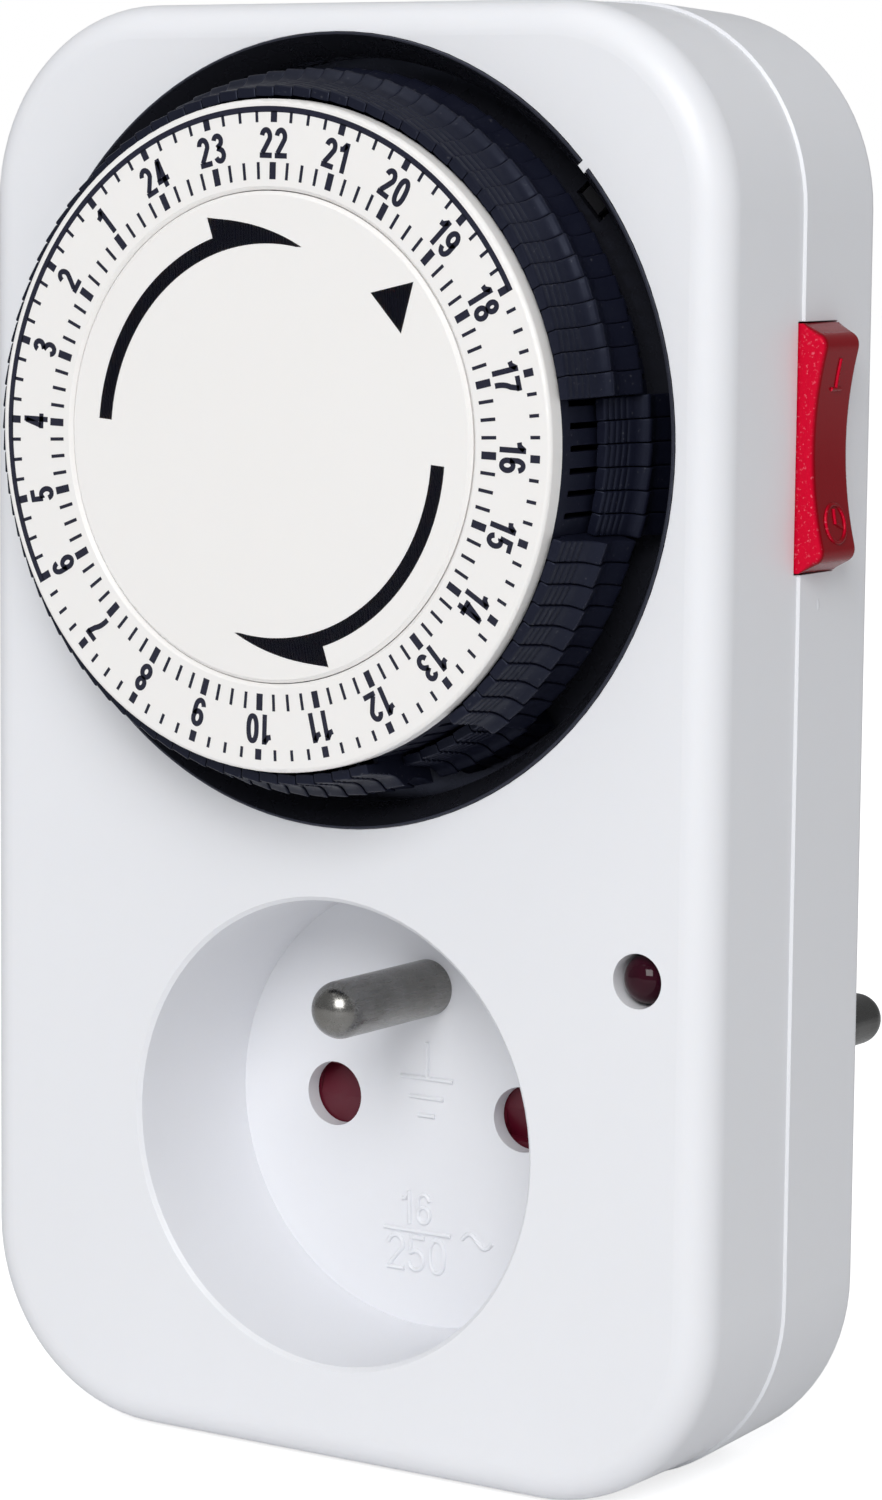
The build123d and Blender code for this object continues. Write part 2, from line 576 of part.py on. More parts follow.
def lamp_lens():
    """The domed window of the indicator lamp."""
    lens = rod(LENS_RADIUS, *LENS_DEPTHS, LAMP_X, LAMP_Z)
    return fillet(lens.edges().group_by(Axis.Y)[0], LENS_RADIUS - 0.15)


def neon_lamp():
    """The neon bulb behind the lens."""
    bulb = rod(BULB_RADIUS, *BULB_DEPTHS, LAMP_X, LAMP_Z)
    return fillet(bulb.edges().group_by(Axis.Y)[0], BULB_RADIUS - 0.3)


def lamp_resistor():
    """The bulb's series resistor with its two leads."""
    x = LAMP_X - 3.0
    middle = Pos(x, y_at(RESISTOR_DEPTH), LAMP_Z - 5.5)
    body = middle * Cylinder(RESISTOR_RADIUS, RESISTOR_LENGTH)
    leads = middle * Cylinder(LEAD_RADIUS, 2 * RESISTOR_LENGTH)
    lead_depths = (BULB_DEPTHS[1] + 0.1, RESISTOR_DEPTH + 0.2)
    return body + leads + block((x - 0.2, LAMP_X), lead_depths, (LAMP_Z - 0.9, LAMP_Z - 0.5))


# --- dial ---------------------------------------------------------------------------------------

def dial_surround():
    """The glossy funnel round the dial, with the trough that pushed-in tappets drop into."""
    inner, outer = SURROUND_INNER_RADIUS, SURROUND_RADIUS
    floor, under = SURROUND_FLOOR_DEPTH, SURROUND_FLOOR_DEPTH + SURROUND_FLOOR
    ring = turned([
        (outer - SURROUND_RIM, -SURROUND_PROUD), (outer - 0.06, -SURROUND_PROUD),
        (outer, 0.06 - SURROUND_PROUD), (outer, under), (TROUGH_INNER_RADIUS, under),
        (TROUGH_INNER_RADIUS, floor), (inner, floor), (inner, FUNNEL_DEPTH),
    ], z=DIAL_Z)
    ring -= surround_key(NOTCH_WIDTH, -1, NOTCH_DEPTH, NOTCH_RADIUS)
    slot = block((-1.6, 1.6), (floor - 1, under + 1), (DIAL_Z + 27.2, DIAL_Z + 29.6))
    return ring - about_dial(slot, NOSE_DIRECTION)


def dial_post():
    """The post that the dial turns on, riveted to the gear plate."""
    post = rod(POST_RADIUS, CARRIER_FRONT - 0.3, PLATE_DEPTH, 0, DIAL_Z)
    post += rod(6.0, 9.7, PLATE_DEPTH, 0, DIAL_Z)
    post += rod(3.0, PLATE_DEPTH, PLATE_DEPTH + PLATE_THICKNESS, 0, DIAL_Z)
    return post - rod(2.0, CARRIER_FRONT - 1, 4.0, 0, DIAL_Z)


def centre_disc():
    """The fixed centre disc with its stem, pushed into the post."""
    disc = turned([
        (0, DISC_FRONT), (DISC_RADIUS - DISC_EDGE, DISC_FRONT), (DISC_RADIUS, DISC_FRONT + DISC_EDGE),
        (DISC_RADIUS, DISC_BACK), (3.6, DISC_BACK), (3.6, CARRIER_FRONT - 0.3),
        (1.95, CARRIER_FRONT - 0.3), (1.95, 2.0), (0, 2.0),
    ], z=DIAL_Z)
    return disc


def dial_ring():
    """The white hour ring, fixed on the front of the carrier."""
    ring = rod(RING_OUTER_RADIUS, RING_FRONT, RING_BACK, 0, DIAL_Z)
    ring = fillet(ring.edges().group_by(Axis.Y)[0], RING_EDGE_RADIUS)
    return ring - turned([
        (0, RING_FRONT - 1), (RING_INNER_RADIUS + DISC_EDGE, RING_FRONT - 1),
        (RING_INNER_RADIUS + DISC_EDGE, RING_FRONT), (RING_INNER_RADIUS, RING_FRONT + DISC_EDGE),
        (RING_INNER_RADIUS, RING_BACK + 1), (0, RING_BACK + 1),
    ], z=DIAL_Z)


def gear_outline(teeth, steps):
    """One external gear's outline as points, with involute flanks and radial roots."""
    pitch_radius = GEAR_MODULE * teeth / 2
    base_radius = pitch_radius * cos(radians(PRESSURE_ANGLE))
    tip_radius = pitch_radius + 0.9 * GEAR_MODULE
    root_radius = pitch_radius - 1.3 * GEAR_MODULE
    half_thickness = (pi * GEAR_MODULE / 2 - BACKLASH) / 2 / pitch_radius
    involute = tan(radians(PRESSURE_ANGLE)) - radians(PRESSURE_ANGLE)

    def flank_angle(radius):
        roll = acos(min(1.0, base_radius / radius))
        return half_thickness + involute - (tan(roll) - roll)

    start = max(base_radius, root_radius)
    radii = [start + (tip_radius - start) * step / steps for step in range(steps + 1)]
    flank = [(radius, flank_angle(radius)) for radius in radii]
    if root_radius < base_radius:
        flank = [(root_radius, flank_angle(base_radius))] + flank
    points = []
    for tooth in range(teeth):
        middle = 2 * pi * tooth / teeth
        side = [(radius, middle - angle) for radius, angle in flank]
        side += [(radius, middle + angle) for radius, angle in reversed(flank)]
        points += [(radius * sin(angle), radius * cos(angle)) for radius, angle in side]
    return points


def gear(teeth, depths, x, z, turn_degrees, steps=3):
    """A spur gear along Y with its first tooth turned clockwise from the top."""
    face = make_face(Polyline(*gear_outline(teeth, steps), close=True))
    return layer(Pos(x, z) * Rot(0, 0, -turn_degrees) * face, *depths)


def tappet_carrier():
    """The drum that turns once a day: hub, front plate, slotted skirt and drive gear."""
    hub_radius = POST_RADIUS + RUNNING_GAP
    plate_back = CARRIER_FRONT + CARRIER_PLATE
    outer, inner = CARRIER_RADIUS, CARRIER_RADIUS - CARRIER_WALL
    gear_front, gear_back = DIAL_GEAR_DEPTHS
    drum = turned([
        (hub_radius, CARRIER_FRONT), (outer, CARRIER_FRONT), (outer, CARRIER_SKIRT_DEPTH),
        (inner, CARRIER_SKIRT_DEPTH), (inner, plate_back), (21.5, plate_back), (21.5, gear_back),
        (20.2, gear_back), (20.2, plate_back), (6.5, plate_back), (6.5, gear_back), (hub_radius, gear_back),
    ], z=DIAL_Z)
    slot_x = (TONGUE_X - SLOT_WIDTH / 2, TONGUE_X + SLOT_WIDTH / 2)
    slot_z = (DIAL_Z + inner - 0.5, DIAL_Z + outer + 0.5)
    slot = block(slot_x, (plate_back, CARRIER_SKIRT_DEPTH + 1), slot_z)
    slots = [about_dial(slot, tappet_angle(quarter / 4)) for quarter in range(TAPPET_COUNT)]
    drum -= slots
    teeth = gear(DIAL_TEETH, (gear_front, gear_back), 0, DIAL_Z, TRANSFER_DIRECTION, steps=2)
    return drum + (teeth - rod(20.8, gear_front - 1, gear_back + 1, 0, DIAL_Z))


def tappet_angle(hour):
    """Clockwise angle of the middle of the tappet that starts at an hour."""
    return DIAL_PHASE - 15.0 * (hour + 0.125)


def raised_tappet():
    """One tappet at the top of the dial, in its raised place."""
    bottom = TAPPET_PROFILE[-1][1]
    top = TAPPET_PROFILE[0][1]
    outline = [(TAPPET_INNER_RADIUS, bottom), (TAPPET_INNER_RADIUS, top)] + TAPPET_PROFILE
    corners = [(0, y_at(depth), DIAL_Z + radius) for radius, depth in outline]
    finger = extrude(make_face(Polyline(*corners, close=True)), amount=1.3, dir=(1, 0, 0), both=True)
    pivot = DIAL_Z + TAPPET_INNER_RADIUS + 1.4
    finger = Pos(0, 0, pivot) * Rot(0, TAPPET_FACE_TURN, 0) * Pos(0, 0, -pivot) * finger
    half = radians((TAPPET_PITCH - TAPPET_GAP_DEGREES) / 2)
    reach = 31.0
    wedge_points = [(0, 0), (-reach * tan(half), reach), (reach * tan(half), reach)]
    wedge = Pos(0, DIAL_Z) * make_face(Polyline(*wedge_points, close=True))
    inner_cut = rod(TAPPET_INNER_RADIUS, top - 1, bottom + 1, 0, DIAL_Z)
    finger = (finger & layer(wedge, top - 0.5, bottom + 0.5)) - inner_cut
    tongue_front = CARRIER_FRONT + CARRIER_PLATE + 0.1
    tongue_z = (DIAL_Z + CARRIER_RADIUS - 2.2, DIAL_Z + TAPPET_INNER_RADIUS + 0.3)
    tongue_x = (TONGUE_X - TONGUE_WIDTH / 2, TONGUE_X + TONGUE_WIDTH / 2)
    return finger + block(tongue_x, (tongue_front, -2.2), tongue_z)


def tappet_block(start_hour, count, pushed_in):
    """A run of neighbouring tappets, all raised or all pushed in."""
    tappet = raised_tappet()
    shift = TAPPET_TRAVEL if pushed_in else 0.0
    angles = [tappet_angle(start_hour + step / 4) for step in range(count)]
    return Compound([Pos(0, shift, 0) * about_dial(tappet, angle) for angle in angles])


# --- gear train and motor -----------------------------------------------------------------------

TRANSFER_DISTANCE = GEAR_MODULE * (DIAL_TEETH + TRANSFER_PINION_TEETH) / 2
TRANSFER_X, TRANSFER_Z = polar(TRANSFER_DISTANCE, TRANSFER_DIRECTION)
PINION_DISTANCE = GEAR_MODULE * (TRANSFER_WHEEL_TEETH + MOTOR_PINION_TEETH) / 2
TO_MOTOR = Vector(MOTOR_X - TRANSFER_X, 0, MOTOR_Z - TRANSFER_Z).normalized()
PINION_X = TRANSFER_X + PINION_DISTANCE * TO_MOTOR.X
PINION_Z = TRANSFER_Z + PINION_DISTANCE * TO_MOTOR.Z
PINION_DIRECTION = degrees(acos(TO_MOTOR.Z))


def gear_plate():
    """The plate behind the dial that carries the post, the axle, the motor and the switch."""
    outline = Pos(0, PLATE_MID_Z) * RectangleRounded(PLATE_WIDTH, PLATE_HEIGHT, PLATE_CORNER_RADIUS)
    plate = layer(outline, PLATE_DEPTH, PLATE_DEPTH + PLATE_THICKNESS)
    through = (PLATE_DEPTH - 1, PLATE_DEPTH + 3)
    plate -= block((30.8, 34.0), through, (46.3, 67.9))
    plate -= block((20.8, 28.6), through, (50.6, 79.0))
    plate -= rod(BYPASS_PIN_RADIUS, *through, BYPASS_X + 0.15, BYPASS_PIVOT_Z)
    plate -= rod(3.0, *through, 0, DIAL_Z)
    plate -= rod(AXLE_RADIUS, *through, TRANSFER_X, TRANSFER_Z)
    plate -= rod(1.6, *through, PINION_X, PINION_Z)
    for x, z in PLATE_POSTS:
        plate -= rod(PLATE_SCREW_RADIUS + 0.2, *through, x, z)
    for x, z in SCREW_PLACES:
        plate -= rod(BOSS_RADIUS + 1.0, *through, x, z)
    return plate


def plate_screws():
    """Four small screws that hold the gear plate to its posts."""
    back = PLATE_DEPTH + PLATE_THICKNESS
    screws = []
    for x, z in PLATE_POSTS:
        screw = rod(PLATE_SCREW_RADIUS, 6.0, back + 0.3, x, z)
        screw += rod(PLATE_SCREW_HEAD_RADIUS, back, back + 1.2, x, z)
        screws.append(screw - block((x - 2, x + 2), (back + 0.7, back + 2), (z - 0.3, z + 0.3)))
    return Compound(screws)


def transfer_axle():
    """The steel axle of the transfer gear, fixed in the gear plate."""
    axle = rod(AXLE_RADIUS, 7.0, PLATE_DEPTH + PLATE_THICKNESS, TRANSFER_X, TRANSFER_Z)
    return axle + rod(1.3, 6.9, 7.3, TRANSFER_X, TRANSFER_Z)


def transfer_gear():
    """The compound gear: its pinion drives the dial, its wheel is driven by the motor."""
    pinion_turn = TRANSFER_DIRECTION + 180 + 180 / TRANSFER_PINION_TEETH
    wheel = gear(TRANSFER_WHEEL_TEETH, WHEEL_DEPTHS, TRANSFER_X, TRANSFER_Z, PINION_DIRECTION, steps=2)
    pinion = gear(TRANSFER_PINION_TEETH, (7.5, WHEEL_DEPTHS[0] + 0.2), TRANSFER_X, TRANSFER_Z, pinion_turn)
    solid = wheel + pinion
    return solid - rod(AXLE_RADIUS + RUNNING_GAP, 5, 14, TRANSFER_X, TRANSFER_Z)


def motor_pinion():
    """The output pinion of the geared motor, on its shaft."""
    turn = PINION_DIRECTION + 180 + 180 / MOTOR_PINION_TEETH
    pinion = gear(MOTOR_PINION_TEETH, (9.8, 11.7), PINION_X, PINION_Z, turn)
    return pinion + rod(0.9, 11.6, 15.0, PINION_X, PINION_Z)


def motor_case():
    """The drawn steel cup of the synchronous motor."""
    cup = rod(MOTOR_RADIUS, MOTOR_FRONT + MOTOR_SHEET, MOTOR_BACK, MOTOR_X, MOTOR_Z)
    cup = fillet(cup.edges().group_by(Axis.Y)[-1], 1.0)
    cup -= rod(MOTOR_RADIUS - MOTOR_SHEET, 10, MOTOR_BACK - MOTOR_SHEET, MOTOR_X, MOTOR_Z)
    shaft_hole = ROTOR_SHAFT_RADIUS + RUNNING_GAP
    return cup - rod(shaft_hole, MOTOR_BACK - 2, MOTOR_BACK + 1, MOTOR_X, MOTOR_Z)


def motor_cover():
    """The motor's front plate, with two ears and the output shaft's hole."""
    cover = rod(MOTOR_RADIUS, MOTOR_FRONT, MOTOR_FRONT + MOTOR_SHEET, MOTOR_X, MOTOR_Z)
    through = (MOTOR_FRONT - 1, MOTOR_FRONT + 2)
    cover -= rod(1.0, *through, PINION_X, PINION_Z)
    return cover - rod(ROTOR_SHAFT_RADIUS + RUNNING_GAP, *through, MOTOR_X, MOTOR_Z)


def motor_coil():
    """The ring-shaped winding on its bobbin."""
    front, back = COIL_DEPTHS
    inner, rim = COIL_RADII
    wire = rim - BOBBIN_RIM
    outline = [
        (inner, front), (rim, front), (rim, front + BOBBIN_FLANGE), (wire, front + BOBBIN_FLANGE),
        (wire, back - BOBBIN_FLANGE), (rim, back - BOBBIN_FLANGE), (rim, back), (inner, back),
    ]
    return turned(outline, MOTOR_X, MOTOR_Z)


def motor_rotor():
    """The ring-magnet rotor on its shaft."""
    front, back = ROTOR_DEPTHS
    rotor = rod(ROTOR_RADIUS, front, back, MOTOR_X, MOTOR_Z)
    recess = [(2.4, front - 1), (6.2, front - 1), (6.2, back - 1.8), (2.4, back - 1.8)]
    rotor -= turned(recess, MOTOR_X, MOTOR_Z)
    shaft_depths = (MOTOR_FRONT + 0.05, MOTOR_BACK - 0.05)
    return rotor + rod(ROTOR_SHAFT_RADIUS, *shaft_depths, MOTOR_X, MOTOR_Z)


# --- switch -------------------------------------------------------------------------------------

def across(radius, length, depth, z):
    """A round bar along X, centred on the lever."""
    return Pos(LEVER_X, y_at(depth), z) * Rot(0, 90, 0) * Cylinder(radius, length)


def follower_lever():
    """The lever whose nose feels for pushed-in tappets through the slot in the trough."""
    nose_x, nose_z = polar(NOSE_RADIUS, NOSE_DIRECTION)
    half = LEVER_WIDTH / 2
    lever = block((LEVER_X - half, LEVER_X + half), LEVER_DEPTHS, (LEVER_PIVOT_Z, LEVER_TOP_Z))
    lever += block((nose_x - 1.3, LEVER_X), LEVER_DEPTHS, (nose_z - 1.6, LEVER_TOP_Z))
    nose_z_range = (DIAL_Z + NOSE_RADIUS - 0.8, DIAL_Z + NOSE_RADIUS + 0.8)
    lever += about_dial(block((-1.1, 1.1), (NOSE_TIP_DEPTH, 8.4), nose_z_range), NOSE_DIRECTION)
    lever += across(1.4, LEVER_WIDTH, LEVER_PIVOT_DEPTH, LEVER_PIVOT_Z)
    lever -= across(LEVER_PIN_RADIUS + RUNNING_GAP, LEVER_WIDTH + 2, LEVER_PIVOT_DEPTH, LEVER_PIVOT_Z)
    pusher = (9.5, ARM_DEPTH - ARM_THICKNESS / 2 - 0.1)
    return lever + block((LEVER_X - 0.8, LEVER_X + 0.8), pusher, (73.4, 74.6))


def lever_pin():
    """The lever's pivot pin."""
    return across(LEVER_PIN_RADIUS, PIN_SPAN, LEVER_PIVOT_DEPTH, LEVER_PIVOT_Z)


def switch_base():
    """The black block that carries the contacts, with two ears for the pivot pins."""
    base = block((22.9, 28.5), (7.4, 15.4), (BASE_BOTTOM_Z, BASE_TOP_Z))
    base += block((22.9, 30.4), (PLATE_DEPTH + PLATE_THICKNESS, 14.0), (BASE_BOTTOM_Z, BASE_TOP_Z))
    base += block((22.9, 24.2), (7.4, 12.0), (BASE_BOTTOM_Z, EAR_TOP_Z))
    base += block((27.8, 28.5), (7.4, 12.0), (BASE_BOTTOM_Z, EAR_TOP_Z))
    base -= across(LEVER_PIN_RADIUS, 12, LEVER_PIVOT_DEPTH, LEVER_PIVOT_Z)
    base -= across(ARM_PIN_RADIUS, 12, ARM_DEPTH, ARM_PIVOT_Z)
    contact_depths = (FIXED_CONTACT_FRONT + 0.4, FIXED_CONTACT_FRONT + 0.4 + STRIP)
    strip_x = (LEVER_X - CONTACT_WIDTH / 2, LEVER_X + CONTACT_WIDTH / 2)
    base -= block(strip_x, contact_depths, (BASE_BOTTOM_Z - 1, BASE_TOP_Z + 1))
    feed_depths = (ARM_DEPTH - 0.3, ARM_DEPTH + 0.3)
    return base - block((LEVER_X - 0.8, LEVER_X + 0.8), feed_depths, (BASE_BOTTOM_Z - 1, BASE_TOP_Z + 1))


def contact_arm():
    """The moving contact's arm, hinged at its rolled lower end, with its silver rivet."""
    arm_depths = (ARM_DEPTH - ARM_THICKNESS / 2, ARM_DEPTH + ARM_THICKNESS / 2)
    strip_x = (LEVER_X - CONTACT_WIDTH / 2, LEVER_X + CONTACT_WIDTH / 2)
    arm = block(strip_x, arm_depths, (ARM_PIVOT_Z + 0.7, CONTACT_Z + 1.6))
    arm += across(0.9, CONTACT_WIDTH, ARM_DEPTH, ARM_PIVOT_Z)
    arm -= across(ARM_PIN_RADIUS + RUNNING_GAP, 4, ARM_DEPTH, ARM_PIVOT_Z)
    return arm + rod(RIVET_RADIUS, arm_depths[1] - 0.05, arm_depths[1] + RIVET_HEIGHT, LEVER_X, CONTACT_Z)


def contact_arm_pin():
    """The pin through the two ears that the contact arm hinges on."""
    return across(ARM_PIN_RADIUS, PIN_SPAN, ARM_DEPTH, ARM_PIVOT_Z)


def fixed_contact():
    """The stiff contact strip behind the arm, with a side tab that faces the bypass leaf."""
    depths = (FIXED_CONTACT_FRONT + 0.4, FIXED_CONTACT_FRONT + 0.4 + STRIP)
    strip_x = (LEVER_X - CONTACT_WIDTH / 2, LEVER_X + CONTACT_WIDTH / 2)
    strip = block(strip_x, depths, (53.2, CONTACT_Z + 1.6))
    strip += rod(RIVET_RADIUS, FIXED_CONTACT_FRONT, FIXED_CONTACT_FRONT + 0.5, LEVER_X, CONTACT_Z)
    face_x = BYPASS_X - 0.45 - BYPASS_OPENING
    tab_z = (BYPASS_CONTACT_Z - 1.6, BYPASS_CONTACT_Z + 1.6)
    strip += block((LEVER_X + 1.0, face_x - 0.3), depths, tab_z)
    strip += block((face_x - 0.8, face_x - 0.3), (depths[0], 16.6), tab_z)
    return strip + Pos(face_x - 0.2, y_at(15.3), BYPASS_CONTACT_Z) * Rot(0, 90, 0) * Cylinder(0.9, 0.4)


def bypass_contact():
    """The leaf that the rocker pushes to keep the socket on, hinged at its rolled lower end."""
    x = BYPASS_X + BYPASS_THICKNESS / 2
    leaf = block((BYPASS_X, BYPASS_X + BYPASS_THICKNESS), (14.3, 16.3), (BYPASS_PIVOT_Z + 0.7, 64.6))
    leaf += rod(0.9, 14.3, 16.3, x, BYPASS_PIVOT_Z)
    leaf -= rod(BYPASS_PIN_RADIUS + RUNNING_GAP, 12, 18, x, BYPASS_PIVOT_Z)
    rivet = Pos(BYPASS_X - 0.2, y_at(15.3), BYPASS_CONTACT_Z) * Rot(0, 90, 0) * Cylinder(0.9, 0.5)
    return leaf + rivet


def bypass_pin():
    """The pin that the bypass leaf hinges on, fixed in the gear plate."""
    return rod(BYPASS_PIN_RADIUS, PLATE_DEPTH, FEED_DEPTHS[0], BYPASS_X + 0.15, BYPASS_PIVOT_Z)


def rocker_button():
    """The red rocker: a saddle-shaped cap with a heel and a bore for its axle."""
    half_base, half_top = ROCKER_BASE_LENGTH / 2, ROCKER_TOP_LENGTH / 2
    half_inner = ROCKER_INNER_LENGTH / 2
    end_x = ROCKER_END_X
    back = ROCKER_FRONT + ROCKER_WIDTH
    outline = Polyline(
        (end_x, half_top), (SIDE_X, half_base), (ROCKER_NECK_X, half_base), (ROCKER_INNER_X, half_inner),
        (ROCKER_INNER_X, -half_inner), (ROCKER_NECK_X, -half_base), (SIDE_X, -half_base),
        (end_x, -half_top),
    )
    saddle = ThreePointArc((end_x, -half_top), (ROCKER_WAIST_X, 0), (end_x, half_top))
    rocker = layer(Pos(0, ROCKER_Z) * make_face(outline + saddle), ROCKER_FRONT, back)
    rocker = fillet(rocker.edges().filter_by(Axis.Y).group_by(Axis.X)[-1], ROCKER_CORNER_RADIUS)
    rocker += rod(1.8, ROCKER_FRONT, back, ROCKER_PIVOT_X, ROCKER_Z)
    rocker -= rod(ROCKER_AXLE_RADIUS + RUNNING_GAP, ROCKER_FRONT - 1, back + 1, ROCKER_PIVOT_X, ROCKER_Z)
    heel_x = (BYPASS_X + BYPASS_THICKNESS + 0.12, ROCKER_INNER_X + 0.5)
    return rocker + block(heel_x, (13.7, 16.3), (ROCKER_Z + 4.4, ROCKER_Z + 5.6))


def rocker_axle():
    """The rocker's steel axle, held at both ends in the housing's webs."""
    return rod(ROCKER_AXLE_RADIUS, AXLE_START, AXLE_END, ROCKER_PIVOT_X, ROCKER_Z)


# --- building -------------------------------------------------------------------------------

HALF_SPACING = PIN_SPACING / 2

NODES = {
    "front_shell": front_shell,
    "rear_cover": rear_cover,
    "housing_screws": housing_screws,
    "plug_body": plug_body,
    "pin_block": pin_block,
    "live_pin": lambda: plug_pin(HALF_SPACING),
    "neutral_pin": lambda: plug_pin(-HALF_SPACING),
    "live_clip": lambda: contact_clip(HALF_SPACING),
    "neutral_clip": lambda: contact_clip(-HALF_SPACING),
    "neutral_bar": neutral_bar,
    "live_feed_bar": live_feed_bar,
    "switched_bar": switched_bar,
    "earth_strap": earth_strap,
    "socket_earth_pin": socket_earth_pin,
    "earth_sleeve": earth_sleeve,
    "earth_clips": earth_clips,
    "socket_shutter": socket_shutter,
    "shutter_pivot": shutter_pivot,
    "shutter_spring": shutter_spring,
    "lamp_lens": lamp_lens,
    "neon_lamp": neon_lamp,
    "lamp_resistor": lamp_resistor,
    "dial_surround": dial_surround,
    "dial_post": dial_post,
    "centre_disc": centre_disc,
    "dial_ring": dial_ring,
    "tappet_carrier": tappet_carrier,
    "gear_plate": gear_plate,
    "plate_screws": plate_screws,
    "transfer_axle": transfer_axle,
    "transfer_gear": transfer_gear,
    "motor_pinion": motor_pinion,
    "motor_case": motor_case,
    "motor_cover": motor_cover,
    "motor_coil": motor_coil,
    "motor_rotor": motor_rotor,
    "follower_lever": follower_lever,
    "lever_pin": lever_pin,
    "switch_base": switch_base,
    "contact_arm": contact_arm,
    "contact_arm_pin": contact_arm_pin,
    "fixed_contact": fixed_contact,
    "bypass_contact": bypass_contact,
    "bypass_pin": bypass_pin,
    "rocker_button": rocker_button,
    "rocker_axle": rocker_axle,
}

os.makedirs("parts", exist_ok=True)
for node, make in NODES.items():
    save(make(), node)
for node, (start_hour, count, pushed_in) in TAPPET_BLOCKS.items():
    save(tappet_block(start_hour, count, pushed_in), node)
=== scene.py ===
import json
import logging
import math
from dataclasses import dataclass, field
from enum import Enum
from typing import Any

import bmesh
import bpy
import numpy as np
from mathutils import Matrix, Vector


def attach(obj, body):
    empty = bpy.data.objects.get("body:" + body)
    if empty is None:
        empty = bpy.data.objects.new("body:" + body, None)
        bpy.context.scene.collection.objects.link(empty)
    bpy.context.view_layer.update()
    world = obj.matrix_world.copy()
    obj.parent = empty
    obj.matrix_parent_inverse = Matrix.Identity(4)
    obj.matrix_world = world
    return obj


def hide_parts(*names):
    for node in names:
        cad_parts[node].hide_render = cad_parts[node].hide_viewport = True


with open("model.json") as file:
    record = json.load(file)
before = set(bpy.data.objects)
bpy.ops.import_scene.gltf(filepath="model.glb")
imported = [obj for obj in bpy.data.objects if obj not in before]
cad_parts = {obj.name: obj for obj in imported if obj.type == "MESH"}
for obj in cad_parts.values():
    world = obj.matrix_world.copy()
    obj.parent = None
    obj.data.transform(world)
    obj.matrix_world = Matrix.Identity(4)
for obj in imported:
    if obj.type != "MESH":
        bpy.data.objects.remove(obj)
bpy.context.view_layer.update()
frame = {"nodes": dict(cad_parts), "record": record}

LOG = logging.getLogger("timer_switch")

MM = 0.001
FACE_SETBACK = 56.0      # the front face's distance in front of the row origin, in mm
DIAL_Z = 57.4            # the dial's centre, in mm
HOUR_TURN = 15.0         # the dial's turn in an hour, in degrees
MERGE_MM = 1e-4          # points of a new mesh that are nearer than this become one


# --- colours and node trees -----------------------------------------------------------------

def linear(red: float, green: float, blue: float) -> tuple[float, float, float, float]:
    """Turns display values from 0 to 255 into a linear colour.

    Args:
        red, green, blue: display values, with the usual 2.4 power curve and its linear toe.

    Returns:
        The colour with an alpha of 1, for a shader socket.
    """
    values = np.array([red, green, blue]) / 255.0
    curve = np.where(values <= 0.04045, values / 12.92, ((values + 0.055) / 1.055) ** 2.4)
    return (float(curve[0]), float(curve[1]), float(curve[2]), 1.0)


def shade(colour: tuple[float, ...], factor: float) -> tuple[float, ...]:
    """A linear colour times a factor, held at 1, with an alpha of 1."""
    return tuple(min(1.0, value * factor) for value in colour[:3]) + (1.0,)


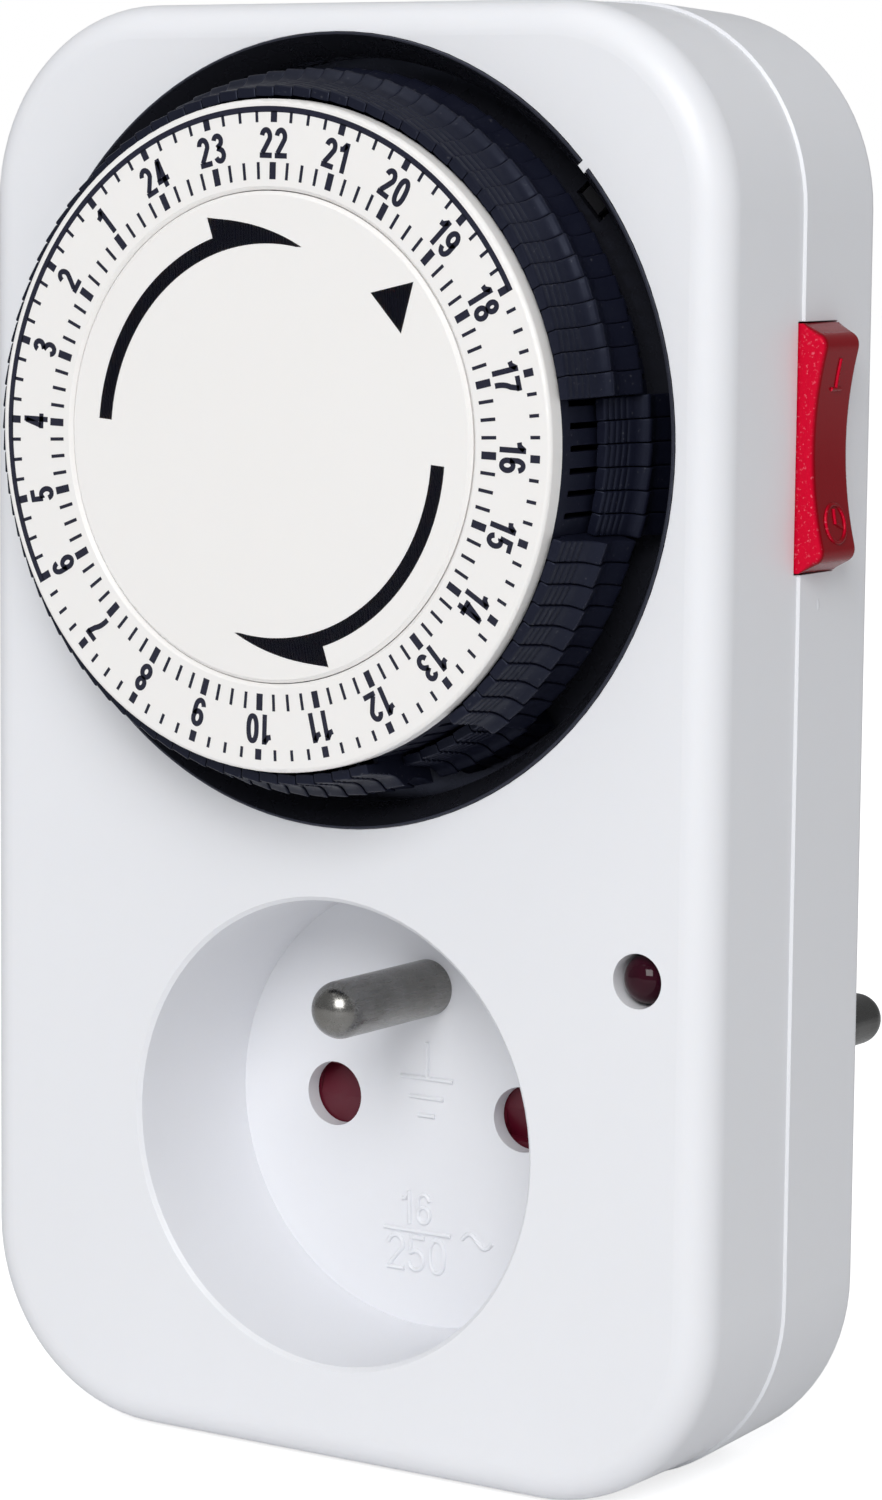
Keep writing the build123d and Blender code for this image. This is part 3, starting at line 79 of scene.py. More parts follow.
class Graph:
    """A material's node tree, with short ways to add and join nodes."""

    def __init__(self, name: str) -> None:
        """Starts an empty tree that reads Object coordinates.

        Args:
            name: the material's name.
        """
        self.material = bpy.data.materials.new(name)
        self.material.use_nodes = True
        self.tree = self.material.node_tree
        self.tree.nodes.clear()
        self.output = self.tree.nodes.new("ShaderNodeOutputMaterial")
        self.shader = self.tree.nodes.new("ShaderNodeBsdfPrincipled")
        self.tree.links.new(self.shader.outputs[0], self.output.inputs[0])
        coordinates = self.tree.nodes.new("ShaderNodeTexCoord")
        self.place = coordinates.outputs["Object"]
        self.normal = coordinates.outputs["Normal"]

    def add(self, kind: str, settings: dict[str, Any] | None = None, **inputs: Any) -> bpy.types.Node:
        """Adds a node.

        Args:
            kind: the node's type without its ShaderNode prefix.
            settings: values for the node's own properties.
            inputs: socket names, with _ for spaces, and their values or the sockets that feed them.

        Returns:
            The new node.
        """
        node = self.tree.nodes.new("ShaderNode" + kind)
        for key, value in (settings or {}).items():
            setattr(node, key, value)
        for key, value in inputs.items():
            socket = node.inputs[int(key[1:])] if key[1:].isdigit() else node.inputs[key.replace("_", " ")]
            self.feed(socket, value)
        return node

    def feed(self, socket: bpy.types.NodeSocket, value: Any) -> None:
        """Links a socket to another, or sets its plain value."""
        if isinstance(value, bpy.types.NodeSocket):
            self.tree.links.new(value, socket)
        else:
            socket.default_value = value

    def put(self, **inputs: Any) -> None:
        """Feeds the principled shader: socket names, with _ for spaces, and their values."""
        for key, value in inputs.items():
            self.feed(self.shader.inputs[key.replace("_", " ")], value)

    def noise(self, scale: float, detail: float = 3.0,
              stretch: tuple[float, float, float] | None = None) -> bpy.types.NodeSocket:
        """Fractal noise on Object coordinates.

        Args:
            scale: cells per metre.
            detail: octaves.
            stretch: a factor on each axis, for brushed or drawn surfaces.

        Returns:
            The noise's value from 0 to 1.
        """
        place = self.place
        if stretch is not None:
            place = self.add("Mapping", Vector=place, Scale=stretch).outputs[0]
        node = self.add("TexNoise", Vector=place, Scale=scale, Detail=detail, Roughness=0.55)
        return node.outputs["Fac"] if "Fac" in node.outputs else node.outputs[0]

    def span(self, value: bpy.types.NodeSocket, low: float, high: float, start: float = 0.3,
             end: float = 0.7) -> bpy.types.NodeSocket:
        """Maps a value from start..end onto low..high, held at both ends."""
        return self.add("MapRange", i0=value, i1=start, i2=end, i3=low, i4=high).outputs[0]

    def mix(self, amount: Any, first: Any, second: Any) -> bpy.types.NodeSocket:
        """Mixes two colours by an amount from 0 to 1."""
        node = self.add("Mix", {"data_type": "RGBA"})
        self.feed(node.inputs[0], amount)
        self.feed(node.inputs[6], first)
        self.feed(node.inputs[7], second)
        return node.outputs[2]

    def bump(self, height: bpy.types.NodeSocket, depth_mm: float, strength: float = 1.0,
             below: bpy.types.NodeSocket | None = None) -> bpy.types.NodeSocket:
        """A bump normal from a height, in millimetres of relief."""
        node = self.add("Bump", Height=height, Distance=depth_mm * MM, Strength=strength)
        if below is not None:
            self.feed(node.inputs["Normal"], below)
        return node.outputs[0]


@dataclass(frozen=True)
class Plastic:
    """Moulded plastic: a fine grain, a slow drift of tone and patchy gloss; some finishes also paint a paler
    tone of light on the faces that look along Y.
    """

    colour: tuple[float, float, float]
    roughness: float = 0.42
    spread: float = 0.06
    grain_mm: float = 0.010
    grain_scale: float = 5200.0
    wave_mm: float = 0.0
    drift: float = 0.03
    speck: float = 0.0
    subsurface: float = 0.0
    coat: float = 0.0
    ior: float = 1.5
    tint: tuple[float, float, float] = (255, 255, 255)
    # The paler tone of faces that look along Y: partly a grained finish, partly painted light.
    grained: tuple[float, float, float] | None = None

    def build(self, name: str) -> bpy.types.Material:
        """Builds the material under a name.

        Returns:
            A material whose colour, gloss and bump all vary on Object coordinates.
        """
        graph = Graph(name)
        base = linear(*self.colour)
        dark, bright = shade(base, 1.0 - self.drift), shade(base, 1.0 + self.drift * 0.5)
        tone = graph.mix(graph.noise(70.0), dark, bright)
        if self.speck > 0.0:
            dust = graph.span(graph.noise(2600.0, 1.0), 0.0, self.speck, 0.70, 0.80)
            tone = graph.mix(dust, tone, tuple(min(1.0, value + 0.22) for value in base[:3]) + (1.0,))
        # Painted light: faces that look along Y get a paler tone and pinkish painted glints.
        if self.grained is not None:
            tone = self.with_grained_ends(graph, tone)
        low, high = self.roughness - self.spread, self.roughness + self.spread
        normal = graph.bump(graph.noise(self.grain_scale, 2.0), self.grain_mm, 0.6)
        if self.wave_mm > 0.0:
            normal = graph.bump(graph.noise(140.0, 2.0), self.wave_mm, 0.5, normal)
        graph.put(Base_Color=tone, Roughness=graph.span(graph.noise(420.0, 4.0), low, high), Normal=normal,
                  IOR=self.ior, Specular_Tint=linear(*self.tint))
        if self.subsurface > 0.0:
            graph.put(Subsurface_Weight=self.subsurface, Subsurface_Radius=(0.9, 0.8, 0.7),
                      Subsurface_Scale=0.0006)
        if self.coat > 0.0:
            graph.put(Coat_Weight=self.coat, Coat_Roughness=0.08)
        return graph.material

    def with_grained_ends(self, graph: Graph, tone: bpy.types.NodeSocket) -> bpy.types.NodeSocket:
        """Gives the faces that look along Y their own paler tone, partly grain and partly painted light, with
        painted pinkish glints.
        """
        along = graph.add("SeparateXYZ", Vector=graph.normal).outputs[1]
        along = graph.add("Math", {"operation": "ABSOLUTE"}, i0=along).outputs[0]
        # Painted glints: pinkish light specks mixed into the paler tone.
        painted_glints = graph.span(graph.noise(3600.0, 2.0), 0.0, 0.35, 0.60, 0.74)
        pale = graph.mix(painted_glints, linear(*self.grained), linear(255, 150, 170))
        return graph.mix(graph.span(along, 0.0, 1.0, 0.35, 0.80), tone, pale)


@dataclass(frozen=True)
class Metal:
    """Turned, drawn or plated metal with fine marks along one direction."""

    colour: tuple[float, float, float]
    stain: tuple[float, float, float]
    roughness: float = 0.26
    stain_amount: float = 0.35
    marks: tuple[float, float, float] = (1.0, 0.06, 1.0)
    mark_scale: float = 9000.0

    def build(self, name: str) -> bpy.types.Material:
        """Builds the material under a name.

        Returns:
            A metallic material with marks stretched along an axis and slow stains.
        """
        graph = Graph(name)
        stains = graph.span(graph.noise(260.0, 5.0), 0.0, self.stain_amount, 0.42, 0.72)
        lines = graph.noise(self.mark_scale, 3.0, self.marks)
        graph.put(Base_Color=graph.mix(stains, linear(*self.colour), linear(*self.stain)), Metallic=1.0,
                  Roughness=graph.span(lines, self.roughness - 0.07, self.roughness + 0.12),
                  Normal=graph.bump(lines, 0.004, 0.35))
        return graph.material


@dataclass(frozen=True)
class Winding:
    """Enamelled wire wound round the Y axis, as light and dark bands along it."""

    colour: tuple[float, float, float]
    band_mm: float = 8.0

    def build(self, name: str) -> bpy.types.Material:
        """Builds the material under a name; a wave of scale k has bands 0.31416 / k metres wide."""
        graph = Graph(name)
        bands = graph.add("TexWave", {"wave_type": "BANDS", "bands_direction": "Y"}, Vector=graph.place,
                          Scale=314.16 / self.band_mm, Distortion=0.4, Detail=1.0).outputs[1]
        dark = tuple(value * 0.45 for value in self.colour)
        graph.put(Base_Color=graph.mix(bands, linear(*dark), linear(*self.colour)), Metallic=0.85,
                  Roughness=graph.span(graph.noise(900.0), 0.25, 0.4), Normal=graph.bump(bands, 0.06, 0.8))
        return graph.material


@dataclass(frozen=True)
class Ink:
    """Pad-printed ink: nearly black, faintly blue, with a thin worn grain."""

    colour: tuple[float, float, float]
    worn: tuple[float, float, float]

    def build(self, name: str) -> bpy.types.Material:
        """Builds the material under a name."""
        graph = Graph(name)
        wear = graph.span(graph.noise(3800.0, 4.0), 0.0, 0.5, 0.56, 0.78)
        graph.put(Base_Color=graph.mix(wear, linear(*self.colour), linear(*self.worn)),
                  Roughness=graph.span(graph.noise(1500.0), 0.34, 0.5),
                  Normal=graph.bump(graph.noise(7000.0), 0.004, 0.5))
        return graph.material


@dataclass(frozen=True)
class Lens:
    """Dark translucent plastic or glass with a clear polished skin."""

    colour: tuple[float, float, float]
    transmission: float
    roughness: float = 0.07
    ior: float = 1.33

    def build(self, name: str) -> bpy.types.Material:
        """Builds the material under a name, a little cloudy inside."""
        graph = Graph(name)
        base = linear(*self.colour)
        gloss = graph.span(graph.noise(700.0), self.roughness * 0.6, self.roughness * 1.6)
        graph.put(Base_Color=graph.mix(graph.noise(900.0), shade(base, 0.55), base), Roughness=gloss,
                  Normal=graph.bump(graph.noise(600.0, 1.0), 0.006, 0.3), IOR=self.ior,
                  Transmission_Weight=self.transmission)
        return graph.material


class FinishName(Enum):
    """The finishes, one for each of the record's material slots, and the printed ink."""

    HOUSING = "housing_plastic"
    PLUG = "plug_plastic"
    BLOCK = "block_plastic"
    SCREW = "screw_steel"
    NICKEL = "nickel_plate"
    CONTACT = "contact_brass"
    SHUTTER = "shutter_plastic"
    PIN_STEEL = "pin_steel"
    LENS = "lens_plastic"
    LAMP_GLASS = "lamp_glass"
    RESISTOR = "resistor_body"
    RING = "ring_plastic"
    TAPPET = "tappet_plastic"
    DIAL = "dial_plastic"
    FRAME = "frame_plastic"
    GEAR = "gear_plastic"
    MOTOR = "motor_steel"
    COIL = "coil_winding"
    MAGNET = "magnet"
    LEVER = "lever_plastic"
    ROCKER = "rocker_plastic"
    INK = "dial_ink"


@dataclass
class Palette:
    """Every finish of the timer, built once and handed to the pieces."""

    made: dict[FinishName, bpy.types.Material] = field(default_factory=dict)

    def build(self) -> "Palette":
        """Builds all the finishes.

        Returns:
            The palette itself.
        """
        name = FinishName
        # Plastic: colour, roughness, spread, grain_mm, grain_scale, wave_mm, drift, speck.
        # Metal: colour, stain, roughness, stain_amount, marks.
        finishes = {
            name.HOUSING: Plastic((237, 238, 242), 0.40, 0.05, 0.007, 4200.0, drift=0.012, subsurface=0.10),
            name.PLUG: Plastic((233, 234, 238), 0.38, 0.06, 0.007, 4200.0, drift=0.015, subsurface=0.10),
            name.BLOCK: Plastic((214, 212, 204), 0.5, 0.06, 0.01),
            name.SCREW: Metal((196, 196, 200), (120, 112, 98), 0.32),
            name.NICKEL: Metal((140, 139, 136), (94, 90, 84), 0.22, 0.45),
            name.CONTACT: Metal((214, 178, 104), (140, 96, 50), 0.28, 0.5),
            name.SHUTTER: Plastic((92, 14, 34), 0.36, 0.06, 0.010),
            # Pin steel is darkened as painted shade: the plug's pins wear it for the shadow and dark
            # reflections they show.
            name.PIN_STEEL: Metal((98, 98, 97), (62, 60, 58), 0.22),
            name.LENS: Lens((60, 3, 28), 0.22),
            name.LAMP_GLASS: Lens((250, 232, 220), 0.95, 0.03),
            name.RESISTOR: Plastic((206, 178, 132), 0.3, 0.05, coat=0.4),
            name.RING: Plastic((42, 43, 50), 0.27, 0.07, 0.003, 2600.0, 0.004, 0.2, ior=1.50,
                               tint=(205, 215, 255)),
            name.TAPPET: Plastic((20, 22, 36), 0.44, 0.08, 0.010, 3600.0, 0.01, 0.25, 0.16, ior=1.34,
                                 tint=(215, 225, 255)),
            name.DIAL: Plastic((243, 241, 239), 0.34, 0.05, 0.004, 5200.0, drift=0.012, subsurface=0.10),
            name.FRAME: Plastic((226, 224, 214), 0.45, 0.06, 0.010),
            name.GEAR: Plastic((236, 232, 220), 0.36, 0.06, 0.008),
            name.MOTOR: Metal((188, 188, 192), (132, 130, 126), 0.34, 0.4, (1.0, 1.0, 0.1)),
            name.COIL: Winding((196, 104, 52)),
            name.MAGNET: Plastic((58, 58, 62), 0.5, 0.08, 0.02),
            name.LEVER: Plastic((44, 44, 48), 0.45, 0.08, 0.014),
            # The rocker: the saddle keeps the darker tone; the faces that look along Y get a paler tone that
            # is partly grain, partly painted light.
            name.ROCKER: Plastic((132, 2, 16), 0.20, 0.05, 0.006, 3000.0, 0.006, 0.06, ior=1.30,
                                 tint=(255, 132, 138), grained=(205, 10, 46)),
            name.INK: Ink((13, 15, 40), (44, 46, 70)),
        }
        self.made = {key: finish.build(key.value) for key, finish in finishes.items()}
        return self

    def dress(self, piece: bpy.types.Object, finish: FinishName) -> None:
        """Gives a piece one finish in all its material slots."""
        piece.data.materials.clear()
        piece.data.materials.append(self.made[finish])


# --- mesh tools -----------------------------------------------------------------------------

@dataclass
class Skin:
    """Points in mm as (x, depth behind the front face, z), and the faces on them."""

    points: np.ndarray
    faces: list[tuple[int, ...]]

    def moved(self, x: float = 0.0, depth: float = 0.0, z: float = 0.0) -> "Skin":
        """A copy of the skin, moved."""
        return Skin(self.points + np.array([x, depth, z]), self.faces)

    def about_dial(self, clockwise: float) -> "Skin":
        """A copy turned clockwise about the dial's axis, by a turn matrix on x and z."""
        angle = math.radians(clockwise)
        x, depth, z = self.points.T
        z = z - DIAL_Z
        turned = np.stack([x * math.cos(angle) + z * math.sin(angle), depth,
                           -x * math.sin(angle) + z * math.cos(angle) + DIAL_Z], axis=1)
        return Skin(turned, self.faces)


def merged(parts: list[Skin]) -> Skin:
    """Several skins as one, with their points kept apart."""
    faces, count = [], 0
    for part in parts:
        faces += [tuple(index + count for index in face) for face in part.faces]
        count += len(part.points)
    return Skin(np.concatenate([part.points for part in parts]), faces)


def grid(points: np.ndarray, close_rows: bool = False, close_columns: bool = False) -> Skin:
    """Quads on a grid of points, one for each cell.

    Args:
        points: an array of rows by columns by 3.
        close_rows: whether the last row joins the first.
        close_columns: whether the last column joins the first.

    Returns:
        The skin. Its faces look along (next column) x (next row).
    """
    rows, columns = points.shape[:2]
    row = np.arange(rows if close_rows else rows - 1)
    column = np.arange(columns if close_columns else columns - 1)
    r, c = np.meshgrid(row, column, indexing="ij")
    r2, c2 = (r + 1) % rows, (c + 1) % columns
    quads = np.stack([r * columns + c, r * columns + c2, r2 * columns + c2, r2 * columns + c], axis=-1)
    return Skin(points.reshape(-1, 3), [tuple(int(i) for i in quad) for quad in quads.reshape(-1, 4)])


def capped(skin: Skin, count: int) -> Skin:
    """Closes a swept skin with a face over its first count points and one over its last."""
    last = len(skin.points) - count
    return Skin(skin.points, skin.faces + [tuple(range(count))[::-1], tuple(range(last, last + count))])


def make_piece(name: str, skin: Skin, smooth_angle: float) -> bpy.types.Object:
    """Makes a mesh object from a skin, in metres in the row frame.

    Args:
        name: the piece's name.
        skin: its points and faces.
        smooth_angle: edges that turn more than this stay sharp.

    Returns:
        The object, at the origin, with its place in its mesh and its faces outward.
    """
    mesh = bpy.data.meshes.new(name)
    place = (skin.points - np.array([0.0, FACE_SETBACK, 0.0])) * MM
    mesh.from_pydata(place.tolist(), [], skin.faces)
    body = bmesh.new()
    body.from_mesh(mesh)
    bmesh.ops.remove_doubles(body, verts=body.verts, dist=MERGE_MM * MM)
    bmesh.ops.dissolve_degenerate(body, edges=body.edges, dist=1e-8)
    bmesh.ops.recalc_face_normals(body, faces=body.faces)
    limit = math.radians(smooth_angle)
    for edge in body.edges:
        edge.smooth = len(edge.link_faces) == 2 and edge.calc_face_angle(0.0) < limit
    for face in body.faces:
        face.smooth = True
    body.to_mesh(mesh)
    body.free()
    piece = bpy.data.objects.new(name, mesh)
    bpy.context.scene.collection.objects.link(piece)
    weigh = piece.modifiers.new("weighted_normals", "WEIGHTED_NORMAL")
    weigh.keep_sharp = True
    weigh.weight = 80
    return piece


def finish_piece(piece: bpy.types.Object, palette: Palette, finish: FinishName, body: str,
                 replaced: tuple[str, ...] = ()) -> bpy.types.Object:
    """Dresses a piece, makes it ride on its body and hides the nodes it stands for."""
    palette.dress(piece, finish)
    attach(piece, body)
    if replaced:
        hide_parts(*replaced)
    LOG.info("%s rides on %s", piece.name, body)
    return piece


def polar(radius: np.ndarray | float, clockwise: np.ndarray | float) -> tuple[np.ndarray, np.ndarray]:
    """x and z on the dial from a radius and a clockwise angle in degrees: (r sin a, r cos a)."""
    angle = np.radians(clockwise)
    return np.asarray(radius * np.sin(angle)), np.asarray(radius * np.cos(angle) + DIAL_Z)


def slab(outline: np.ndarray, front: float, back: float) -> Skin:
    """A flat outline given thickness: one front face, one back face and a wall of quads.

    Args:
        outline: points (x, z) in order round the shape.
        front: depth of its front.
        back: depth of its back.

    Returns:
        A closed skin.
    """
    points = np.empty((2, len(outline), 3))
    points[:, :, 0] = outline[None, :, 0]
    points[:, :, 1] = np.array([front, back])[:, None]
    points[:, :, 2] = outline[None, :, 1]
    return capped(grid(points, close_columns=True), len(outline))


def mitres(path: np.ndarray, closed: bool = False) -> np.ndarray:
    """The mitred normal at each point of a flat path.

    It is the sum of the two neighbouring unit normals divided by one plus their dot product.

    Args:
        path: points (x, z) along the stroke.
        closed: whether the path is a loop.

    Returns:
        One vector for each point, to the left of the path.
    """
    if closed:
        before, after = path - np.roll(path, 1, 0), np.roll(path, -1, 0) - path
    else:
        steps = np.diff(path, axis=0)
        before, after = np.vstack([steps[:1], steps]), np.vstack([steps, steps[-1:]])
    before = before / np.linalg.norm(before, axis=1, keepdims=True)
    after = after / np.linalg.norm(after, axis=1, keepdims=True)
    normal_a = np.stack([-before[:, 1], before[:, 0]], axis=1)
    normal_b = np.stack([-after[:, 1], after[:, 0]], axis=1)
    return (normal_a + normal_b) / (1.0 + np.sum(normal_a * normal_b, axis=1, keepdims=True)).clip(0.35)


@dataclass(frozen=True)
class Pen:
    """A stroke's section: flat ink, or a moulded bead with a round crown.

    Attributes:
        width: the stroke's width in mm.
        front, back: depths of its front and back; the back lies just inside the surface.
        crown: number of points over a round crown, or 0 for flat ink.
    """

    width: float
    front: float
    back: float
    crown: int = 0

    def section(self) -> np.ndarray:
        """Points (offset, depth) round the section; a crown is half an ellipse over the back."""
        half = self.width / 2
        if self.crown == 0:
            return np.array([[half, self.front], [-half, self.front], [-half, self.back], [half, self.back]])
        angle = np.linspace(0.0, math.pi, self.crown)
        return np.stack([half * np.cos(angle), self.back - (self.back - self.front) * np.sin(angle)], axis=1)

    def draw(self, path: np.ndarray, closed: bool = False) -> Skin:
        """Carries the section along a flat path.

        Args:
            path: points (x, z) along the stroke.
            closed: whether the path is a loop.

        Returns:
            A closed skin.
        """
        section = self.section()
        points = np.empty((len(path), len(section), 3))
        offsets = mitres(path, closed)[:, None, :] * section[None, :, :1]
        points[:, :, 0] = path[:, None, 0] + offsets[:, :, 0]
        points[:, :, 1] = section[None, :, 1]
        points[:, :, 2] = path[:, None, 1] + offsets[:, :, 1]
        skin = grid(points, close_rows=closed, close_columns=True)
        return skin if closed else capped(skin, len(section))


def arc(centre_x: float, centre_z: float, radius_x: float, radius_z: float, start: float, end: float,
        steps: int = 14, power: float = 2.0) -> np.ndarray:
    """Points on a superellipse arc, by compass angle from start to end in degrees.

    With s and c the sine and cosine of the angle, a point is the centre plus
    radius_x * sign(s) * |s|**(2/power) and radius_z * sign(c) * |c|**(2/power).
    """
    angle = np.radians(np.linspace(start, end, steps + 1))
    sine, cosine = np.sin(angle), np.cos(angle)
    x = centre_x + radius_x * np.sign(sine) * np.abs(sine) ** (2.0 / power)
    z = centre_z + radius_z * np.sign(cosine) * np.abs(cosine) ** (2.0 / power)
    return np.stack([x, z], axis=1)


# --- lettering ------------------------------------------------------------------------------

@dataclass
class Numerals:
    """Narrow figures drawn as strokes of even width.

    Attributes:
        pen: the strokes' section.
        height: the figures' height in mm.
        width: a figure's width, in units of its height.
        gap: the space between figures, in units of their height.
    """

    pen: Pen
    height: float
    width: float = 0.50
    gap: float = 0.10

    def strokes(self, figure: str) -> list[tuple[np.ndarray, bool]]:
        """The centre lines of one figure.

        Args:
            figure: a single character from 0 to 9.

        Returns:
            Paths on a cell one unit high, and whether each is a loop.
        """
        half = self.pen.width / self.height / 2
        left, right, middle = half, self.width - half, self.width / 2
        top, bottom, radius = 1 - half, half, self.width / 2 - half
        line = np.array
        shapes: dict[str, list[tuple[np.ndarray, bool]]] = {
            "0": [(arc(middle, 0.5, radius, 0.5 - half, 0, 360, 36, 2.4)[:-1], True)],
            "1": [(line([[middle + 0.07, 0.0], [middle + 0.07, 1.0]]), False),
                  (line([[middle - 0.19, 0.735], [middle - 0.07, 0.76], [middle + 0.05, 0.93]]), False)],
            "2": [(np.vstack([arc(middle, 0.70, radius, 0.30 - half, -82, 112, 14),
                              line([[middle + 0.02, 0.40], [left + 0.03, bottom + 0.07]])]), False),
                  (line([[left - half + 0.02, bottom], [right + half, bottom]]), False)],
            "3": [(np.vstack([arc(middle, 0.745, radius - 0.015, 0.255 - half, -75, 150, 14),
                              line([[middle - 0.06, 0.53]])]), False),
                  (np.vstack([line([[middle - 0.06, 0.53]]),
                              arc(middle, 0.28, radius, 0.28 - half, 25, 255, 16)]), False)],
            "4": [(line([[right - 0.10, 0.0], [right - 0.10, 1.0]]), False),
                  (line([[right - 0.13, 0.93], [left + 0.01, 0.30]]), False),
                  (line([[left - half, 0.27], [right + half, 0.27]]), False)],
            "5": [(line([[right + half - 0.03, top], [left + 0.06, top], [left + 0.02, 0.50]]), False),
                  (np.vstack([line([[left + 0.035, 0.51]]),
                              arc(middle - 0.01, 0.32, radius + 0.005, 0.32 - half, -35, 255, 18)]), False)],
            "6": [(arc(middle, 0.31, radius, 0.31 - half, 0, 360, 28)[:-1], True),
                  (np.vstack([arc(middle, 0.66, radius, 0.34 - half, 74, -84, 14),
                              line([[left, 0.40]])]), False)],
            "7": [(line([[left - half, top], [right + half - 0.02, top]]), False),
                  (np.vstack([line([[right - 0.01, top]]), arc(right + 0.16, 0.05, 0.42, 0.72, -40, -92, 8)]),
                   False)],
            "8": [(arc(middle, 0.745, radius - 0.02, 0.255 - half + 0.01, 0, 360, 24)[:-1], True),
                  (arc(middle, 0.285, radius, 0.285 - half, 0, 360, 28)[:-1], True)],
        }
        if figure == "9":
            return [(np.array([self.width, 1.0]) - path, loop) for path, loop in self.strokes("6")]
        return shapes[figure]

    def word(self, text: str, x: float = 0.0, z: float = 0.0) -> Skin:
        """A number as closed strokes.

        Args:
            text: its figures.
            x, z: where its middle is.

        Returns:
            The number's skin, upright.
        """
        advance = [0.46 * self.width / 0.56 if figure == "1" else self.width for figure in text]
        total = sum(advance) + self.gap * (len(text) - 1)
        cursor, parts = -total / 2, []
        for figure, step in zip(text, advance):
            shift = cursor - (self.width - step) / 2
            for path, loop in self.strokes(figure):
                parts.append(self.pen.draw((path + np.array([shift, -0.5])) * self.height, loop))
            cursor += step + self.gap
        return merged(parts).moved(x=x, z=z)


# --- the dial's print -----------------------------------------------------------------------

@dataclass
class DialPrint:
    """The printed hours, ticks and night arc on the ring, and the arrows on the centre disc."""

    front: float = -9.192
    back: float = -9.17
    disc_front: float = -9.25
    disc_back: float = -9.232
    phase: float = 331.36
    figure_height: float = 2.40
    figure_weight: float = 0.43
    figure_radius: float = 23.08
    inner_ticks: tuple[float, float] = (20.25, 21.59)
    outer_ticks: tuple[float, float] = (24.68, 25.55)
    night: tuple[float, float] = (25.46, 25.93)
    thin: float = 0.27
    thick: float = 0.60
    arrow_radii: tuple[float, float, float] = (15.5, 16.75, 18.45)
    arrow_angles: tuple[float, float, float] = (274.3, 341.0, 371.7)
    arrow_shift: tuple[float, float] = (0.2, -0.25)

    def hour_angle(self, hour: float) -> float:
        """Clockwise angle of an hour mark; the hours run anticlockwise round the ring."""
        return self.phase - HOUR_TURN * hour

    def bar(self, radii: tuple[float, float], width: float, clockwise: float) -> Skin:
        """A radial tick: a rectangle drawn at the top of the ring and turned to its place."""
        low, high = radii
        outline = np.array([[-width / 2, low], [-width / 2, high], [width / 2, high], [width / 2, low]])
        outline[:, 1] += DIAL_Z
        return slab(outline, self.front, self.back).about_dial(clockwise)

    def ring(self) -> Skin:
        """Ticks every quarter hour, thick at each hour, with the hour figures and the night arc."""
        parts = []
        for quarter in range(96):
            angle = self.hour_angle(quarter / 4)
            width = self.thick if quarter % 4 == 0 else self.thin
            parts.append(self.bar(self.inner_ticks, width, angle))
            hour = quarter / 4
            is_night = hour >= 18.0 or hour <= 6.0
            outer = (self.outer_ticks[0], self.night[0] + 0.1 if is_night else self.outer_ticks[1])
            parts.append(self.bar(outer, width, angle))
        figures = Numerals(Pen(self.figure_weight, self.front, self.back), self.figure_height)
        for hour in range(1, 25):
            word = figures.word(str(hour), z=DIAL_Z + self.figure_radius)
            parts.append(word.about_dial(self.hour_angle(hour)))
        parts.append(self.night_arc())
        return merged(parts)

    def night_arc(self) -> Skin:
        """The arc from hour 18 through 24 to hour 6, a band between two radii."""
        half = math.degrees(self.thick / 2 / self.night[1])
        clockwise = np.linspace(self.hour_angle(30) - half, self.hour_angle(18) + half, 181)
        low, high = self.night
        points = np.empty((len(clockwise), 4, 3))
        for column, (radius, depth) in enumerate([(low, self.front), (high, self.front), (high, self.back),
                                                  (low, self.back)]):
            x, z = polar(radius, clockwise)
            points[:, column] = np.stack([x, np.full(len(x), depth), z], axis=1)
        return capped(grid(points, close_columns=True), 4)

    def arrow(self, turn: float) -> Skin:
        """One direction arrow: a band of an arc that ends in a half barb.

        The inner edge runs at the inner radius to the tip. The outer edge runs at the band's radius,
        steps out to the barb's and falls to the tip, at barb - 2.85 * t**0.86 with t from 0 to 1.
        """
        inner, band, barb = self.arrow_radii
        start, notch, tip = self.arrow_angles
        t = np.linspace(0.0, 1.0, 16)
        outer_radius = np.concatenate([np.full(34, band), barb - 2.85 * t ** 0.86])
        outer_angle = np.concatenate([np.linspace(start, notch, 34), notch + (tip - notch) * t])
        inner_angle = np.linspace(tip, start, 52)[1:]
        radius = np.concatenate([outer_radius, np.full(51, inner)])
        x, z = polar(radius, np.concatenate([outer_angle, inner_angle]))
        return slab(np.stack([x, z], axis=1), self.disc_front, self.disc_back).about_dial(turn)

    def pointer(self) -> Skin:
        """The triangle that points at the time now."""
        x, z = polar(np.array([18.72, 15.38, 15.28]), np.array([47.9, 56.2, 40.4]))
        return slab(np.stack([x, z], axis=1), self.disc_front, self.disc_back)

    def build(self, palette: Palette) -> None:
        """Makes the ring's print, which turns with the dial, and the disc's, which doesn't."""
        ring = make_piece("hour_print", self.ring(), 20.0)
        finish_piece(ring, palette, FinishName.INK, "dial")
        shift_x, shift_z = self.arrow_shift
        arrows = merged([self.arrow(0.0), self.arrow(180.0)]).moved(x=shift_x, z=shift_z)
        disc = make_piece("arrow_print", merged([arrows, self.pointer()]), 20.0)
        finish_piece(disc, palette, FinishName.INK, "housing")


# --- tappets ------------------------------------------------------------------------------------

